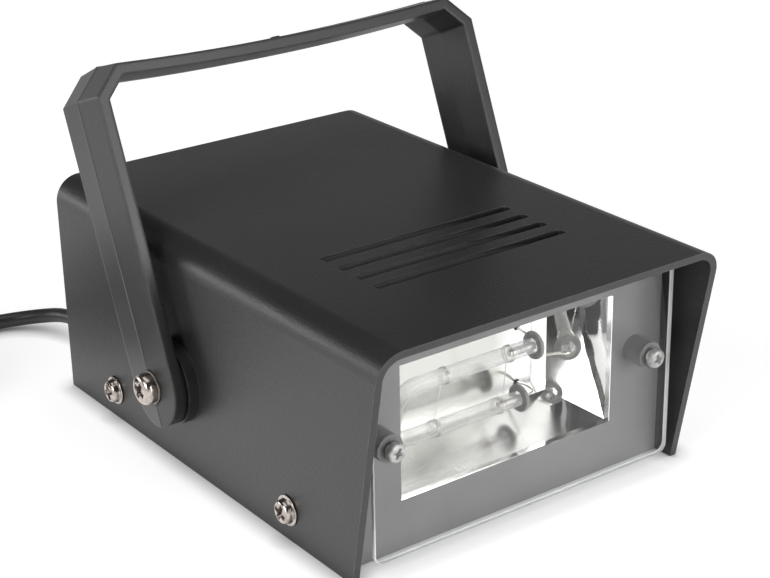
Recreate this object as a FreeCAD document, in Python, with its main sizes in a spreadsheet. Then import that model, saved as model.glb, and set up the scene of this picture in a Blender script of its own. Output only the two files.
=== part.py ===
import FreeCAD, Part
import Sketcher
import math
import os
from types import SimpleNamespace

# Xenon stroboscope: a moulded box with a hooded window, a U-shaped flash tube in a
# folded mirror, a carrying and hanging bracket, a speed knob and a mains lead.
# Millimetres. +Z is up and the window looks along -Y. The origin is under the middle
# of the standing lamp (its lead apart), on the surface that it stands on.

Vector = FreeCAD.Vector
doc = FreeCAD.newDocument("xenon_stroboscope")
sheet = doc.addObject("Spreadsheet::Sheet", "Dimensions")

# ---------------------------------------------------------------- driving sizes
SIZES = {
    # housing: an inverted U of a cover slid over a chassis
    "body_width": 115.0,
    "body_depth": 151.0,
    "body_height": 68.5,
    "wall": 2.2,
    "edge_radius": 7.6,
    "hood_reach": 13.3,
    "cover_gap": 0.15,
    "rear_inset": 0.5,
    # cooling slots in the top
    "vent_length": 64.6,
    "vent_width": 3.4,
    "vent_pitch": 7.9,
    "vent_setback": 22.7,
    # screws through the cover's sides into the chassis
    "side_screw_setback": 28.9,
    "side_screw_height": 9.0,
    "side_screw_thread": 4.0,
    "side_head_width": 8.8,
    "side_head_height": 2.8,
    "screw_gap": 0.2,
    # window, its clear sheet and the two standoffs that carry the sheet
    "window_setback": 6.3,
    "front_wall": 1.8,
    "window_width": 73.4,
    "window_sill": 14.6,
    "window_height": 38.8,
    "sheet_side_gap": 3.8,
    "sheet_bottom": 3.7,
    "sheet_head_gap": 2.3,
    "sheet_thickness": 1.5,
    "sheet_corner": 3.0,
    "standoff_inset": 6.5,
    "standoff_height": 35.2,
    "standoff_width": 8.0,
    "standoff_length": 6.8,
    "lens_screw_thread": 3.0,
    "lens_head_width": 5.6,
    "lens_head_height": 2.0,
    "lens_screw_length": 7.0,
    # mirror: four flaring walls round a flat back
    "mirror_sheet": 0.5,
    "mirror_rim": 4.0,
    "mirror_depth": 16.3,
    "mirror_side_flare": 8.3,
    "mirror_bend_flare": 1.8,
    "mirror_bend_room": 3.4,
    "mirror_sill_flare": 5.7,
    "mirror_head_flare": 5.5,
    # flash tube
    "tube_width": 4.4,
    "tube_spacing": 17.8,
    "tube_leg_end": 13.6,
    "tube_bend_start": -27.0,
    "tube_bend_radius": 6.0,
    "tube_setback": 14.2,
    "tube_height": 34.4,
    "tube_tilt": 14.0,
    "collar_width": 8.0,
    "collar_length": 1.2,
    "collar_stagger": 1.3,
    "lead_wire": 0.9,
    "trigger_wire": 0.5,
    # bracket
    "pivot_setback": 84.3,
    "pivot_height": 26.7,
    "bracket_lean": 22.0,
    "bracket_reach": 90.2,
    "corner_cut": 8.4,
    "arm_width": 23.6,
    "arm_thickness": 5.0,
    "draft_angle": 4.0,
    "bar_sag": 1.8,
    "gate_nub": 2.8,
    "pivot_pad_width": 24.8,
    "pivot_pad_height": 3.3,
    "pivot_play": 0.1,
    "pivot_thread": 5.0,
    "pivot_bore_gap": 0.05,
    "pivot_head_width": 9.2,
    "pivot_head_height": 3.6,
    "washer_width": 9.8,
    "washer_thickness": 0.8,
    "nut_width": 8.0,
    "nut_height": 4.0,
    # speed control
    "knob_across": 22.0,
    "knob_height": 34.0,
    "knob_width": 18.0,
    "knob_length": 12.0,
    "knob_gap": 0.4,
    "shaft_width": 6.0,
    "shaft_gap": 0.05,
    "bushing_width": 7.0,
    "bushing_reach": 5.0,
    "pot_width": 16.0,
    "pot_depth": 9.0,
    "pot_nut_width": 10.0,
    "pot_nut_height": 2.0,
    # lead
    "cord_width": 4.8,
    "cord_across": -40.0,
    "cord_height": 8.0,
    "relief_width": 9.0,
    "relief_flange": 12.0,
    "relief_length": 20.5,
    "coil_width": 54.0,
    "coil_columns": 3.0,
    "coil_layers": 3.0,
    "tie_thickness": 0.8,
    "plug_length": 36.0,
    "plug_width": 35.0,
    "plug_thickness": 13.5,
    "pin_width": 4.0,
    "pin_length": 19.0,
    "pin_spacing": 18.6,
    # circuit board
    "board_length": 84.0,
    "board_width": 86.0,
    "board_setback": 58.0,
    "board_height": 10.0,
    "board_thickness": 1.6,
    "board_inset": 5.0,
    "post_width": 6.0,
    "post_screw": 2.5,
    # what stands on the board
    "can_width": 18.0,
    "can_length": 32.0,
    "can_pitch": 24.0,
    "resistor_width": 9.5,
    "resistor_length": 49.0,
    "resistor_height": 9.0,
    "winding_width": 12.0,
    "winding_length": 13.0,
    "flange_width": 14.5,
    "flange_thickness": 1.5,
    "film_width": 9.5,
    "film_height": 10.0,
    "film_depth": 5.0,
    "fuse_width": 5.2,
    "fuse_length": 20.0,
    "clip_length": 5.0,
    "clip_height": 6.4,
}


class Size:
    """A length that knows both its number and its formula in the sheet's aliases."""

    def __init__(self, formula, number):
        self.formula = formula
        self.number = number

    def __add__(self, other):
        other = as_size(other)
        return Size(f"({self.formula} + {other.formula})", self.number + other.number)

    def __sub__(self, other):
        other = as_size(other)
        return Size(f"({self.formula} - {other.formula})", self.number - other.number)

    def __mul__(self, other):
        other = as_size(other)
        return Size(f"({self.formula} * {other.formula})", self.number * other.number)

    def __truediv__(self, other):
        other = as_size(other)
        return Size(f"({self.formula} / {other.formula})", self.number / other.number)

    def __neg__(self):
        return Size(f"(0 - {self.formula})", -self.number)

    def __radd__(self, other):
        return as_size(other) + self

    def __rsub__(self, other):
        return as_size(other) - self

    def __rmul__(self, other):
        return as_size(other) * self


def as_size(value):
    """A Size as it is, or a plain number as a Size."""
    return value if isinstance(value, Size) else Size(f"{value:g}", float(value))


def fill_sheet():
    """Write each driving size to the sheet and hand it back under its own name."""
    for row, (alias, number) in enumerate(SIZES.items(), start=1):
        sheet.set(f"A{row}", alias)
        sheet.set(f"B{row}", f"{number:g}")
        sheet.setAlias(f"B{row}", alias)
    doc.recompute()
    return SimpleNamespace(**{a: Size(f"Dimensions.{a}", float(sheet.get(a))) for a in SIZES})


d = fill_sheet()

# Places that several pieces share. Depths are counted from the lower front edge of the
# cover's sides, and FRONT is where that edge lies when the lamp is centred.
HALF_WIDTH = d.body_width / 2
CHASSIS_HALF = HALF_WIDTH - d.wall - d.cover_gap
CHASSIS_TOP = d.body_height - d.wall - d.cover_gap
REAR_OUT = d.body_depth - d.rear_inset
REAR_IN = REAR_OUT - d.wall
KNOB_BACK = REAR_OUT + d.knob_gap
KNOB_FACE = KNOB_BACK + d.knob_length
FRONT = (d.hood_reach - KNOB_FACE) / 2
SIDE_SCREWS = (d.side_screw_setback, d.body_depth - d.side_screw_setback)
MIRROR_FRONT = d.window_setback + d.front_wall
SHEET_BACK = d.window_setback - d.standoff_length
SHEET_HALF = HALF_WIDTH - d.wall - d.sheet_side_gap
SHEET_TOP = d.body_height - d.wall - d.sheet_head_gap
STANDOFF_OUT = SHEET_HALF - d.standoff_inset
ARM_IN = HALF_WIDTH + d.pivot_pad_height + d.pivot_play
ARM_OUT = ARM_IN + d.arm_thickness
SEAT_DEPTH = 0.5
WASHER_BACK = ARM_OUT - SEAT_DEPTH + d.pivot_play / 2
BOARD_TOP = d.board_height + d.board_thickness
EIGHTH_TURN = 0.4142
RELIEF_NECK = d.relief_flange * 2 / 3
SIDE_POST_LENGTH = 9.0
NUB_RISE = 0.4
LEAD_RUN = 3.8
LEAD_TAIL = 8.0
TRIGGER_TURNS = (-18.0, 4.0)
TAG_PITCH = 5.0
TAG_WIDTH = 1.2
TAG_REACH = 4.0
FLUTE_WIDTH = 2.2
FLUTE_COUNT = 15
POINTER_WIDTH = 1.2
POINTER_DEPTH = 0.6
TIE_WIDTH = 4.0
PLUG_TAIL = -15.0
# The lead's route and its coil, counted from where the lead leaves its strain relief.
COIL_OFFSET = (-74.0, 11.6)
CORD_ROUTE = [
    (0.0, 0.0, 0.0), (0.0, 14.0, 0.0), (-5.5, 30.5, -3.8),
    (-21.0, 41.5, -5.5), (-45.0, 44.6, -5.5), (-74.0, 43.4, -4.8),
]


# ---------------------------------------------------------------- modelling helpers
def bind(thing, prop, value):
    """Set a property to a size and tie it to the sheet."""
    thing.setExpression(prop, as_size(value).formula)


def new_body(name):
    """A PartDesign body whose label names its file."""
    body = doc.addObject("PartDesign::Body", name)
    body.Label = name
    return body


def origin_plane(body, role):
    """One of the body's own three planes."""
    return next(o for o in body.Origin.OriginFeatures if o.Role == role)


def new_sketch(body, name, role, offset=0):
    """A sketch on one of the body's planes, set off along that plane's normal."""
    sketch = body.newObject("Sketcher::SketchObject", name)
    sketch.AttachmentSupport = [(origin_plane(body, role), "")]
    sketch.MapMode = "FlatFace"
    bind(sketch, ".AttachmentOffset.Base.z", offset)
    return sketch


def pin_point(sketch, geometry, end, point):
    """Hold one point of a sketch at two bound distances from the sketch's origin."""
    for kind, value in zip(("DistanceX", "DistanceY"), point):
        value = as_size(value)
        index = sketch.addConstraint(Sketcher.Constraint(kind, -1, 1, geometry, end, value.number))
        bind(sketch, f"Constraints[{index}]", value)


def arc_through(start, end, radius, side):
    """The arc from start to end whose middle bulges to one side (+1 left, -1 right)."""
    chord = end - start
    half = chord.Length / 2
    rise = radius - math.sqrt(max(radius ** 2 - half ** 2, 0.0))
    left = Vector(-chord.y, chord.x, 0).normalize()
    return Part.Arc(start, (start + end) / 2 + left * rise * side, end)


def draw_outline(sketch, corners, closed=True):
    """Draw an outline or an open path. A corner is (x, y), or (x, y, radius, side) where
    the edge that leaves it is an arc of that radius, bulging left (+1) or right (-1)."""
    points = [Vector(as_size(c[0]).number, as_size(c[1]).number, 0) for c in corners]
    first = sketch.GeometryCount
    ends = []
    for i, corner in enumerate(corners if closed else corners[:-1]):
        start = points[i]
        end = points[(i + 1) % len(points)]
        if len(corner) == 2:
            sketch.addGeometry(Part.LineSegment(start, end), False)
            ends.append((1, 2))
            continue
        radius = as_size(corner[2])
        sketch.addGeometry(arc_through(start, end, radius.number, corner[3]), False)
        index = sketch.addConstraint(Sketcher.Constraint("Radius", first + i, radius.number))
        bind(sketch, f"Constraints[{index}]", radius)
        ends.append((1, 2) if corner[3] < 0 else (2, 1))
    for i, (here, there) in enumerate(ends):
        pin_point(sketch, first + i, here, corners[i][:2])
        if i + 1 < len(ends) or closed:
            after = (i + 1) % len(ends)
            link = (first + i, there, first + after, ends[after][0])
            sketch.addConstraint(Sketcher.Constraint("Coincident", *link))
        else:
            pin_point(sketch, first + i, there, corners[-1][:2])


def draw_circle(sketch, x, y, width):
    """Draw a circle of a bound width about a bound centre."""
    centre = Vector(as_size(x).number, as_size(y).number, 0)
    radius = as_size(width) / 2
    index = sketch.addGeometry(Part.Circle(centre, Vector(0, 0, 1), radius.number), False)
    pin_point(sketch, index, 3, (x, y))
    held = sketch.addConstraint(Sketcher.Constraint("Radius", index, radius.number))
    bind(sketch, f"Constraints[{held}]", radius)


def rectangle(x_low, x_high, y_low, y_high):
    """The four corners of a rectangle, for draw_outline."""
    return [(x_low, y_low), (x_high, y_low), (x_high, y_high), (x_low, y_high)]


def round_rectangle(x_low, x_high, y_low, y_high, radius):
    """The corners and corner arcs of a rectangle with equal round corners."""
    r = radius
    return [
        (x_low + r, y_low), (x_high - r, y_low, r, -1),
        (x_high, y_low + r), (x_high, y_high - r, r, -1),
        (x_high - r, y_high), (x_low + r, y_high, r, -1),
        (x_low, y_high - r), (x_low, y_low + r, r, -1),
    ]


def extrude(kind, body, sketch, length, back=None, both=False, reverse=False):
    """A Pad or Pocket of a sketch: one way, two ways, or the same both ways."""
    feature = body.newObject(f"PartDesign::{kind}", f"{sketch.Name}_{kind.lower()}")
    feature.Profile = sketch
    feature.Reversed = reverse
    bind(feature, "Length", length)
    if both:
        feature.SideType = "Symmetric"
    if back is not None:
        feature.SideType = "Two sides"
        bind(feature, "Length2", back)
    sketch.Visibility = False
    doc.recompute()
    return feature


def pad(body, sketch, length, **ways):
    """Material added along a sketch's normal."""
    return extrude("Pad", body, sketch, length, **ways)


def pocket(body, sketch, length, **ways):
    """Material cut away, and a check that the cut met the solid."""
    before = body.Shape.Volume
    feature = extrude("Pocket", body, sketch, length, **ways)
    if body.Shape.Volume > before - 1e-6:
        raise RuntimeError(f"{feature.Name} cuts nothing")
    return feature


def finish_edges(kind, body, size, chosen):
    """A Fillet or Chamfer on the body's edges that a test picks by their middle."""
    base = body.Tip
    names = []
    for number, edge in enumerate(base.Shape.Edges, start=1):
        middle = edge.valueAt((edge.FirstParameter + edge.LastParameter) / 2)
        if chosen(edge, middle):
            names.append(f"Edge{number}")
    feature = body.newObject(f"PartDesign::{kind}", f"{body.Name}_{kind.lower()}")
    feature.Base = (base, names)
    bind(feature, "Radius" if kind == "Fillet" else "Size", size)
    doc.recompute()
    return feature


def place(body, x=0, y=0, z=0):
    """Put a body at a bound point. Its y is counted from the cover's lower front edge."""
    for axis, value in zip("xyz", (x, FRONT + y, z)):
        bind(body, f".Placement.Base.{axis}", value)


def solid_box(name, low, size):
    """A Part box from a bound low corner and bound sizes."""
    box = doc.addObject("Part::Box", name)
    for prop, value in zip(("Length", "Width", "Height"), size):
        bind(box, prop, value)
    place(box, *low)
    return box


def solid_rod(name, width, length, base, axis="z"):
    """A Part cylinder of a bound width and length, from a bound point along an axis."""
    rod = doc.addObject("Part::Cylinder", name)
    bind(rod, "Radius", as_size(width) / 2)
    bind(rod, "Height", length)
    turns = {
        "z": FreeCAD.Rotation(),
        "x": FreeCAD.Rotation(Vector(0, 1, 0), 90),
        "y": FreeCAD.Rotation(Vector(1, 0, 0), -90),
        "-x": FreeCAD.Rotation(Vector(0, 1, 0), -90),
        "-y": FreeCAD.Rotation(Vector(1, 0, 0), 90),
        "-z": FreeCAD.Rotation(Vector(1, 0, 0), 180),
    }
    rod.Placement.Rotation = turns[axis]
    place(rod, *base)
    return rod


def combine(kind, name, shapes):
    """A Part MultiFuse, or a compound of separate solids, under one label."""
    group = doc.addObject(kind, name)
    setattr(group, "Links" if kind == "Part::Compound" else "Shapes", shapes)
    return group


def cut_away(name, base, tool):
    """A Part cut of one solid by another."""
    result = doc.addObject("Part::Cut", name)
    result.Base = base
    result.Tool = tool
    return result


def smooth_path(points):
    """Straight runs between points, joined by the largest arcs that the runs allow."""
    edges = []
    radii = []
    here = points[0]
    for i in range(1, len(points) - 1):
        back = points[i - 1] - points[i]
        ahead = points[i + 1] - points[i]
        half_turn = (math.pi - back.getAngle(ahead)) / 2
        reach = 0.45 * min(back.Length, ahead.Length)
        radius = reach / math.tan(half_turn)
        radii.append(radius)
        back.normalize()
        ahead.normalize()
        enter = points[i] + back * reach
        leave = points[i] + ahead * reach
        inward = (back + ahead).normalize()
        top = points[i] + inward * (radius / math.cos(half_turn) - radius)
        edges.append(Part.LineSegment(here, enter).toShape())
        edges.append(Part.Arc(enter, top, leave).toShape())
        here = leave
    edges.append(Part.LineSegment(here, points[-1]).toShape())
    return Part.Wire(edges), radii


def round_pipe(points, width):
    """A solid tube of a given width along a smooth path, and that path's radii."""
    path, radii = smooth_path(points)
    start = Part.makeCircle(width / 2, points[0], points[1] - points[0])
    return path.makePipeShell([Part.Wire([start])], True, False), path, radii


def made_shape(name, shape):
    """A Part::Feature holding a shape that part.py works out itself."""
    feature = doc.addObject("Part::Feature", name)
    feature.Shape = shape
    return feature


# ---------------------------------------------------------------- housing
def mirrored(body, feature):
    """The same feature on the other side of the body's YZ plane."""
    twin = body.newObject("PartDesign::Mirrored", f"{feature.Name}_mirrored")
    twin.Originals = [feature]
    twin.MirrorPlane = (origin_plane(body, "YZ_Plane"), [""])
    body.Tip = twin
    doc.recompute()
    return twin


def holes_across(body, name, centres, width):
    """Round holes along X, right through the body."""
    sketch = new_sketch(body, name, "YZ_Plane")
    for centre in centres:
        draw_circle(sketch, *centre, width)
    pocket(body, sketch, d.body_width * 2, both=True)


def cover_section():
    """The cover's section: an inverted U with round shoulders."""
    inner = HALF_WIDTH - d.wall
    ceiling = d.body_height - d.wall
    shoulder = d.body_height - d.edge_radius
    top_half = HALF_WIDTH - d.edge_radius
    round_in = d.edge_radius - d.wall
    return [
        (-HALF_WIDTH, 0), (-inner, 0), (-inner, shoulder, round_in, +1),
        (-top_half, ceiling), (top_half, ceiling, round_in, +1),
        (inner, shoulder), (inner, 0), (HALF_WIDTH, 0),
        (HALF_WIDTH, shoulder, d.edge_radius, -1),
        (top_half, d.body_height), (-top_half, d.body_height, d.edge_radius, -1),
        (-HALF_WIDTH, shoulder),
    ]


def make_top_cover():
    """The moulded cover: sides, top and hood, with slots, pivot pads and screw holes."""
    body = new_body("top_cover")
    section = new_sketch(body, "cover_section", "XZ_Plane")
    draw_outline(section, cover_section())
    pad(body, section, d.hood_reach, back=d.body_depth)

    # the hood's cheeks slope back from its lip to the foot of the sides
    cheek = new_sketch(body, "cheek_slope", "YZ_Plane")
    draw_outline(cheek, [(-d.hood_reach, d.body_height), (-d.hood_reach, 0), (0, 0)])
    pocket(body, cheek, d.body_width * 2, both=True)

    vent = new_sketch(body, "vent_slot", "XY_Plane", d.body_height)
    half = d.vent_length / 2
    low = d.vent_setback - d.vent_width / 2
    draw_outline(vent, round_rectangle(-half, half, low, low + d.vent_width, d.vent_width / 4))
    slot = pocket(body, vent, d.wall * 1.5)
    row = body.newObject("PartDesign::LinearPattern", "vent_row")
    row.Originals = [slot]
    row.Direction = (vent, ["V_Axis"])
    row.Occurrences = 4
    bind(row, "Length", d.vent_pitch * 3)
    body.Tip = row
    doc.recompute()

    sunk = d.wall / 4
    disc = new_sketch(body, "pivot_pad", "YZ_Plane", HALF_WIDTH - sunk)
    draw_circle(disc, d.pivot_setback, d.pivot_height, d.pivot_pad_width)
    mirrored(body, pad(body, disc, sunk + d.pivot_pad_height))
    pivot = (d.pivot_setback, d.pivot_height)
    holes_across(body, "pivot_holes", [pivot], d.pivot_thread + d.screw_gap)
    screws = [(y, d.side_screw_height) for y in SIDE_SCREWS]
    holes_across(body, "side_holes", screws, d.side_screw_thread + d.screw_gap)
    place(body)
    return body


def chassis_profile():
    """The chassis seen from the side: front wall, floor and rear wall."""
    front_in = MIRROR_FRONT
    return [
        (d.window_setback, 0), (REAR_OUT, 0), (REAR_OUT, CHASSIS_TOP),
        (REAR_IN, CHASSIS_TOP), (REAR_IN, d.wall), (front_in, d.wall),
        (front_in, CHASSIS_TOP), (d.window_setback, CHASSIS_TOP),
    ]


def make_chassis():
    """The lower moulding: floor, window wall, rear wall, screw posts and board posts."""
    body = new_body("chassis")
    profile = new_sketch(body, "chassis_profile", "YZ_Plane")
    draw_outline(profile, chassis_profile())
    pad(body, profile, CHASSIS_HALF * 2, both=True)
    top = CHASSIS_TOP.number
    side = CHASSIS_HALF.number
    finish_edges("Fillet", body, d.edge_radius - d.wall - d.cover_gap,
                 lambda edge, at: abs(at.z - top) < 0.01 and abs(abs(at.x) - side) < 0.01)

    window = new_sketch(body, "window", "XZ_Plane", -d.window_setback)
    half = d.window_width / 2
    draw_outline(window, rectangle(-half, half, d.window_sill, d.window_sill + d.window_height))
    pocket(body, window, d.front_wall)

    standoffs = new_sketch(body, "standoffs", "XZ_Plane", -d.window_setback)
    pilots = new_sketch(body, "standoff_pilots", "XZ_Plane", -SHEET_BACK)
    for side in (-1, 1):
        draw_circle(standoffs, STANDOFF_OUT * side, d.standoff_height, d.standoff_width)
        draw_circle(pilots, STANDOFF_OUT * side, d.standoff_height, d.lens_screw_thread)
    pad(body, standoffs, d.standoff_length)
    pocket(body, pilots, d.lens_screw_length - d.sheet_thickness + d.screw_gap)

    rear = new_sketch(body, "rear_holes", "XZ_Plane", -REAR_IN)
    draw_circle(rear, d.knob_across, d.knob_height, d.bushing_width + d.screw_gap)
    draw_circle(rear, d.cord_across, d.cord_height, RELIEF_NECK + d.screw_gap)
    pocket(body, rear, d.wall)

    for name, y in zip(("front", "rear"), SIDE_SCREWS):
        post = new_sketch(body, f"{name}_side_post", "YZ_Plane", CHASSIS_HALF - SIDE_POST_LENGTH)
        reach = d.side_screw_thread
        top = d.side_screw_height + reach
        draw_outline(post, rectangle(y - reach, y + reach, d.wall / 2, top))
        mirrored(body, pad(body, post, SIDE_POST_LENGTH))
    screws = [(y, d.side_screw_height) for y in SIDE_SCREWS]
    holes_across(body, "side_pilots", screws, d.side_screw_thread)

    posts = new_sketch(body, "board_posts", "XY_Plane", d.wall / 2)
    pilots = new_sketch(body, "board_pilots", "XY_Plane", d.board_height)
    for x, y in board_corners():
        draw_circle(posts, x, y, d.post_width)
        draw_circle(pilots, x, y, d.post_screw)
    pad(body, posts, d.board_height - d.wall / 2)
    pocket(body, pilots, d.board_height - d.wall)
    place(body)
    return body


def board_corners():
    """Where the circuit board's four screws stand."""
    x = d.board_width / 2 - d.board_inset
    near = d.board_setback + d.board_inset
    far = d.board_setback + d.board_length - d.board_inset
    return [(-x, near), (x, near), (-x, far), (x, far)]


def make_screws(name, thread, head_width, head_height, length, places, axis):
    """Pan-head screws, one solid each, under one label. A place is where a head seats;
    the shank runs on from it along the axis, which may differ from place to place."""
    screws = []
    for number, (place_at, way) in enumerate(zip(places, axis), start=1):
        shank = solid_rod(f"{name}_shank_{number}", thread, length, place_at, way)
        back = way[1:] if way.startswith("-") else f"-{way}"
        head = solid_rod(f"{name}_head_{number}", head_width, head_height, place_at, back)
        screws.append(combine("Part::MultiFuse", f"{name}_{number}", [shank, head]))
    return combine("Part::Compound", name, screws)


def both_sides(x, y, z):
    """A place and its mirror image, right side first."""
    return [(x, y, z), (-x, y, z)]


def make_cover_screws():
    """Four screws that hold the cover to the chassis."""
    places = []
    for y in SIDE_SCREWS:
        places += both_sides(HALF_WIDTH, y, d.side_screw_height)
    length = d.wall + d.cover_gap + SIDE_POST_LENGTH
    return make_screws("cover_screws", d.side_screw_thread, d.side_head_width,
                       d.side_head_height, length, places, ["-x", "x"] * 2)


# ---------------------------------------------------------------- window
def make_lens_sheet():
    """The clear sheet over the window, carried on two standoffs."""
    body = new_body("lens_sheet")
    sheet_outline = new_sketch(body, "sheet_outline", "XZ_Plane", -SHEET_BACK)
    low = d.sheet_bottom
    outline = round_rectangle(-SHEET_HALF, SHEET_HALF, low, SHEET_TOP, d.sheet_corner)
    draw_outline(sheet_outline, outline)
    for side in (-1, 1):
        draw_circle(sheet_outline, STANDOFF_OUT * side, d.standoff_height,
                    d.lens_screw_thread + d.screw_gap)
    pad(body, sheet_outline, d.sheet_thickness)
    place(body)
    return body


def make_lens_screws():
    """Two small screws through the clear sheet into its standoffs."""
    places = both_sides(STANDOFF_OUT, SHEET_BACK - d.sheet_thickness, d.standoff_height)
    return make_screws("lens_screws", d.lens_screw_thread, d.lens_head_width,
                       d.lens_head_height, d.lens_screw_length, places, ["y", "y"])


def mirror_sections(skin):
    """The mirror's mouth and back, each grown outward by a skin."""
    left = -d.window_width / 2 - d.mirror_bend_room
    right = d.window_width / 2
    top = d.window_sill + d.window_height
    mouth = rectangle(left - skin, right + skin, d.window_sill - skin, top + skin)
    back = rectangle(
        left + d.mirror_bend_flare - skin, right - d.mirror_side_flare + skin,
        d.window_sill + d.mirror_sill_flare - skin, top - d.mirror_head_flare + skin)
    return mouth, back


def loft(kind, body, name, near, far, near_depth, far_depth):
    """A flat-sided loft between two outlines that face the window."""
    sketches = []
    for label, outline, depth in (("near", near, near_depth), ("far", far, far_depth)):
        sketch = new_sketch(body, f"{name}_{label}", "XZ_Plane", -depth)
        draw_outline(sketch, outline)
        sketches.append(sketch)
    doc.recompute()
    feature = body.newObject(f"PartDesign::{kind}", name)
    feature.Profile = sketches[0]
    feature.Sections = sketches[1:]
    feature.Ruled = True
    doc.recompute()
    return feature


def make_mirror():
    """The folded mirror: a rim against the window wall, four flaring walls and a back."""
    body = new_body("mirror")
    outer_mouth, outer_back = mirror_sections(d.mirror_sheet)
    mouth, back = mirror_sections(as_size(0))
    depth = MIRROR_FRONT + d.mirror_depth
    loft("AdditiveLoft", body, "mirror_shell", outer_mouth, outer_back,
         MIRROR_FRONT, depth + d.mirror_sheet)
    rim = new_sketch(body, "mirror_rim", "XZ_Plane", -MIRROR_FRONT)
    draw_outline(rim, mirror_sections(d.mirror_rim)[0])
    pad(body, rim, d.mirror_sheet, reverse=True)
    loft("SubtractiveLoft", body, "mirror_hollow", mouth, back, MIRROR_FRONT, depth)
    holes = new_sketch(body, "lead_holes", "XZ_Plane", -depth)
    for _, z in leg_places():
        draw_circle(holes, d.tube_leg_end + LEAD_RUN, z, d.lead_wire * 2.5)
    pocket(body, holes, d.mirror_sheet * 2)
    place(body)
    return body


# ---------------------------------------------------------------- flash tube
def leg_places():
    """Where the tube's upper and lower legs lie: (depth, height) pairs."""
    half = d.tube_spacing / 2
    lean = math.radians(d.tube_tilt.number)
    along = half * round(math.cos(lean), 5)
    back = half * round(math.sin(lean), 5)
    return [(d.tube_setback - back, d.tube_height + along),
            (d.tube_setback + back, d.tube_height - along)]


def tilt_tube(thing):
    """Lay a piece drawn in the tube's own plane into its tilted place."""
    thing.Placement.Rotation = FreeCAD.Rotation(Vector(1, 0, 0), d.tube_tilt.number)
    place(thing, 0, d.tube_setback, d.tube_height)
    return thing


def make_flash_tube():
    """The glass tube: two legs joined by a bend with round corners."""
    body = new_body("flash_tube")
    half = d.tube_spacing / 2
    turn = d.tube_bend_radius
    bend = d.tube_bend_start
    path = new_sketch(body, "tube_path", "XZ_Plane")
    draw_outline(path, [
        (d.tube_leg_end, half), (bend, half, turn, -1), (bend - turn, half - turn),
        (bend - turn, turn - half, turn, -1), (bend, -half), (d.tube_leg_end, -half),
    ], closed=False)
    bore = new_sketch(body, "tube_section", "YZ_Plane", d.tube_leg_end)
    draw_circle(bore, 0, half, d.tube_width)
    doc.recompute()
    glass = body.newObject("PartDesign::AdditivePipe", "tube_glass")
    glass.Profile = bore
    glass.Spine = (path, [f"Edge{n}" for n in range(1, 6)])
    doc.recompute()
    return tilt_tube(body)


def make_tube_collars():
    """A thin collar pushed on each end of the tube, the lower one a little further."""
    collars = []
    for name, side, pushed in (("upper", 1, as_size(0)), ("lower", -1, d.collar_stagger)):
        outside = d.tube_leg_end - pushed
        at = (outside - d.collar_length, -FRONT, d.tube_spacing / 2 * side)
        rubber = solid_rod(f"{name}_collar_rubber", d.collar_width, d.collar_length, at, "x")
        hole = solid_rod(f"{name}_collar_hole", d.tube_width, d.collar_length, at, "x")
        collars.append(cut_away(f"{name}_collar", rubber, hole))
    return tilt_tube(combine("Part::Compound", "tube_collars", collars))


def make_tube_leads():
    """A bare wire from each end of the tube, back through the mirror."""
    wires = []
    end = d.tube_leg_end.number
    behind = (MIRROR_FRONT + d.mirror_depth).number + LEAD_TAIL
    for depth, height in leg_places():
        y = (FRONT + depth).number
        z = height.number
        points = [Vector(end, y, z), Vector(end + LEAD_RUN, y, z),
                  Vector(end + LEAD_RUN, FRONT.number + behind, z)]
        wires.append(round_pipe(points, d.lead_wire.number)[0])
    return made_shape("tube_leads", Part.makeCompound(wires))


def make_trigger_wire():
    """The fine wire that fires the tube: a turn round each leg at two places, linked."""
    pieces = []
    wire = d.trigger_wire
    reach = d.tube_width / 2 + wire / 2
    for column, x in enumerate(TRIGGER_TURNS):
        for side in (-1, 1):
            at = (x - wire / 2, -FRONT, d.tube_spacing / 2 * side)
            name = f"trigger_turn_{column}_{2 + side}"
            outer = solid_rod(f"{name}_outer", d.tube_width + wire * 2, wire, at, "x")
            inner = solid_rod(f"{name}_inner", d.tube_width, wire, at, "x")
            pieces.append(cut_away(name, outer, inner))
        low = (x, -FRONT + reach, -d.tube_spacing / 2)
        pieces.append(solid_rod(f"trigger_link_{column}", wire, d.tube_spacing, low))
    start = (TRIGGER_TURNS[0], -FRONT + reach, 0)
    span = TRIGGER_TURNS[1] - TRIGGER_TURNS[0]
    pieces.append(solid_rod("trigger_run", wire, span, start, "x"))
    return tilt_tube(combine("Part::MultiFuse", "trigger_wire", pieces))


# ---------------------------------------------------------------- bracket
def bracket_outline():
    """The bracket seen from the front at its parting line, from its pivot axis."""
    reach = d.bracket_reach
    thick = d.arm_thickness
    foot = -d.arm_width / 2
    out_x = ARM_OUT - d.corner_cut
    in_x = out_x - thick * EIGHTH_TURN
    out_z = reach - d.corner_cut
    in_z = out_z - thick * EIGHTH_TURN
    sag = d.bar_sag
    out_arc = (out_x * out_x + sag * sag) / (sag * 2)
    in_arc = (in_x * in_x + sag * sag) / (sag * 2)
    return [
        (-ARM_OUT, foot), (-ARM_OUT, out_z), (-out_x, reach, out_arc, -1),
        (out_x, reach), (ARM_OUT, out_z), (ARM_OUT, foot), (ARM_IN, foot),
        (ARM_IN, in_z), (in_x, reach - thick, in_arc, +1),
        (-in_x, reach - thick), (-ARM_IN, in_z), (-ARM_IN, foot),
    ]


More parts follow.
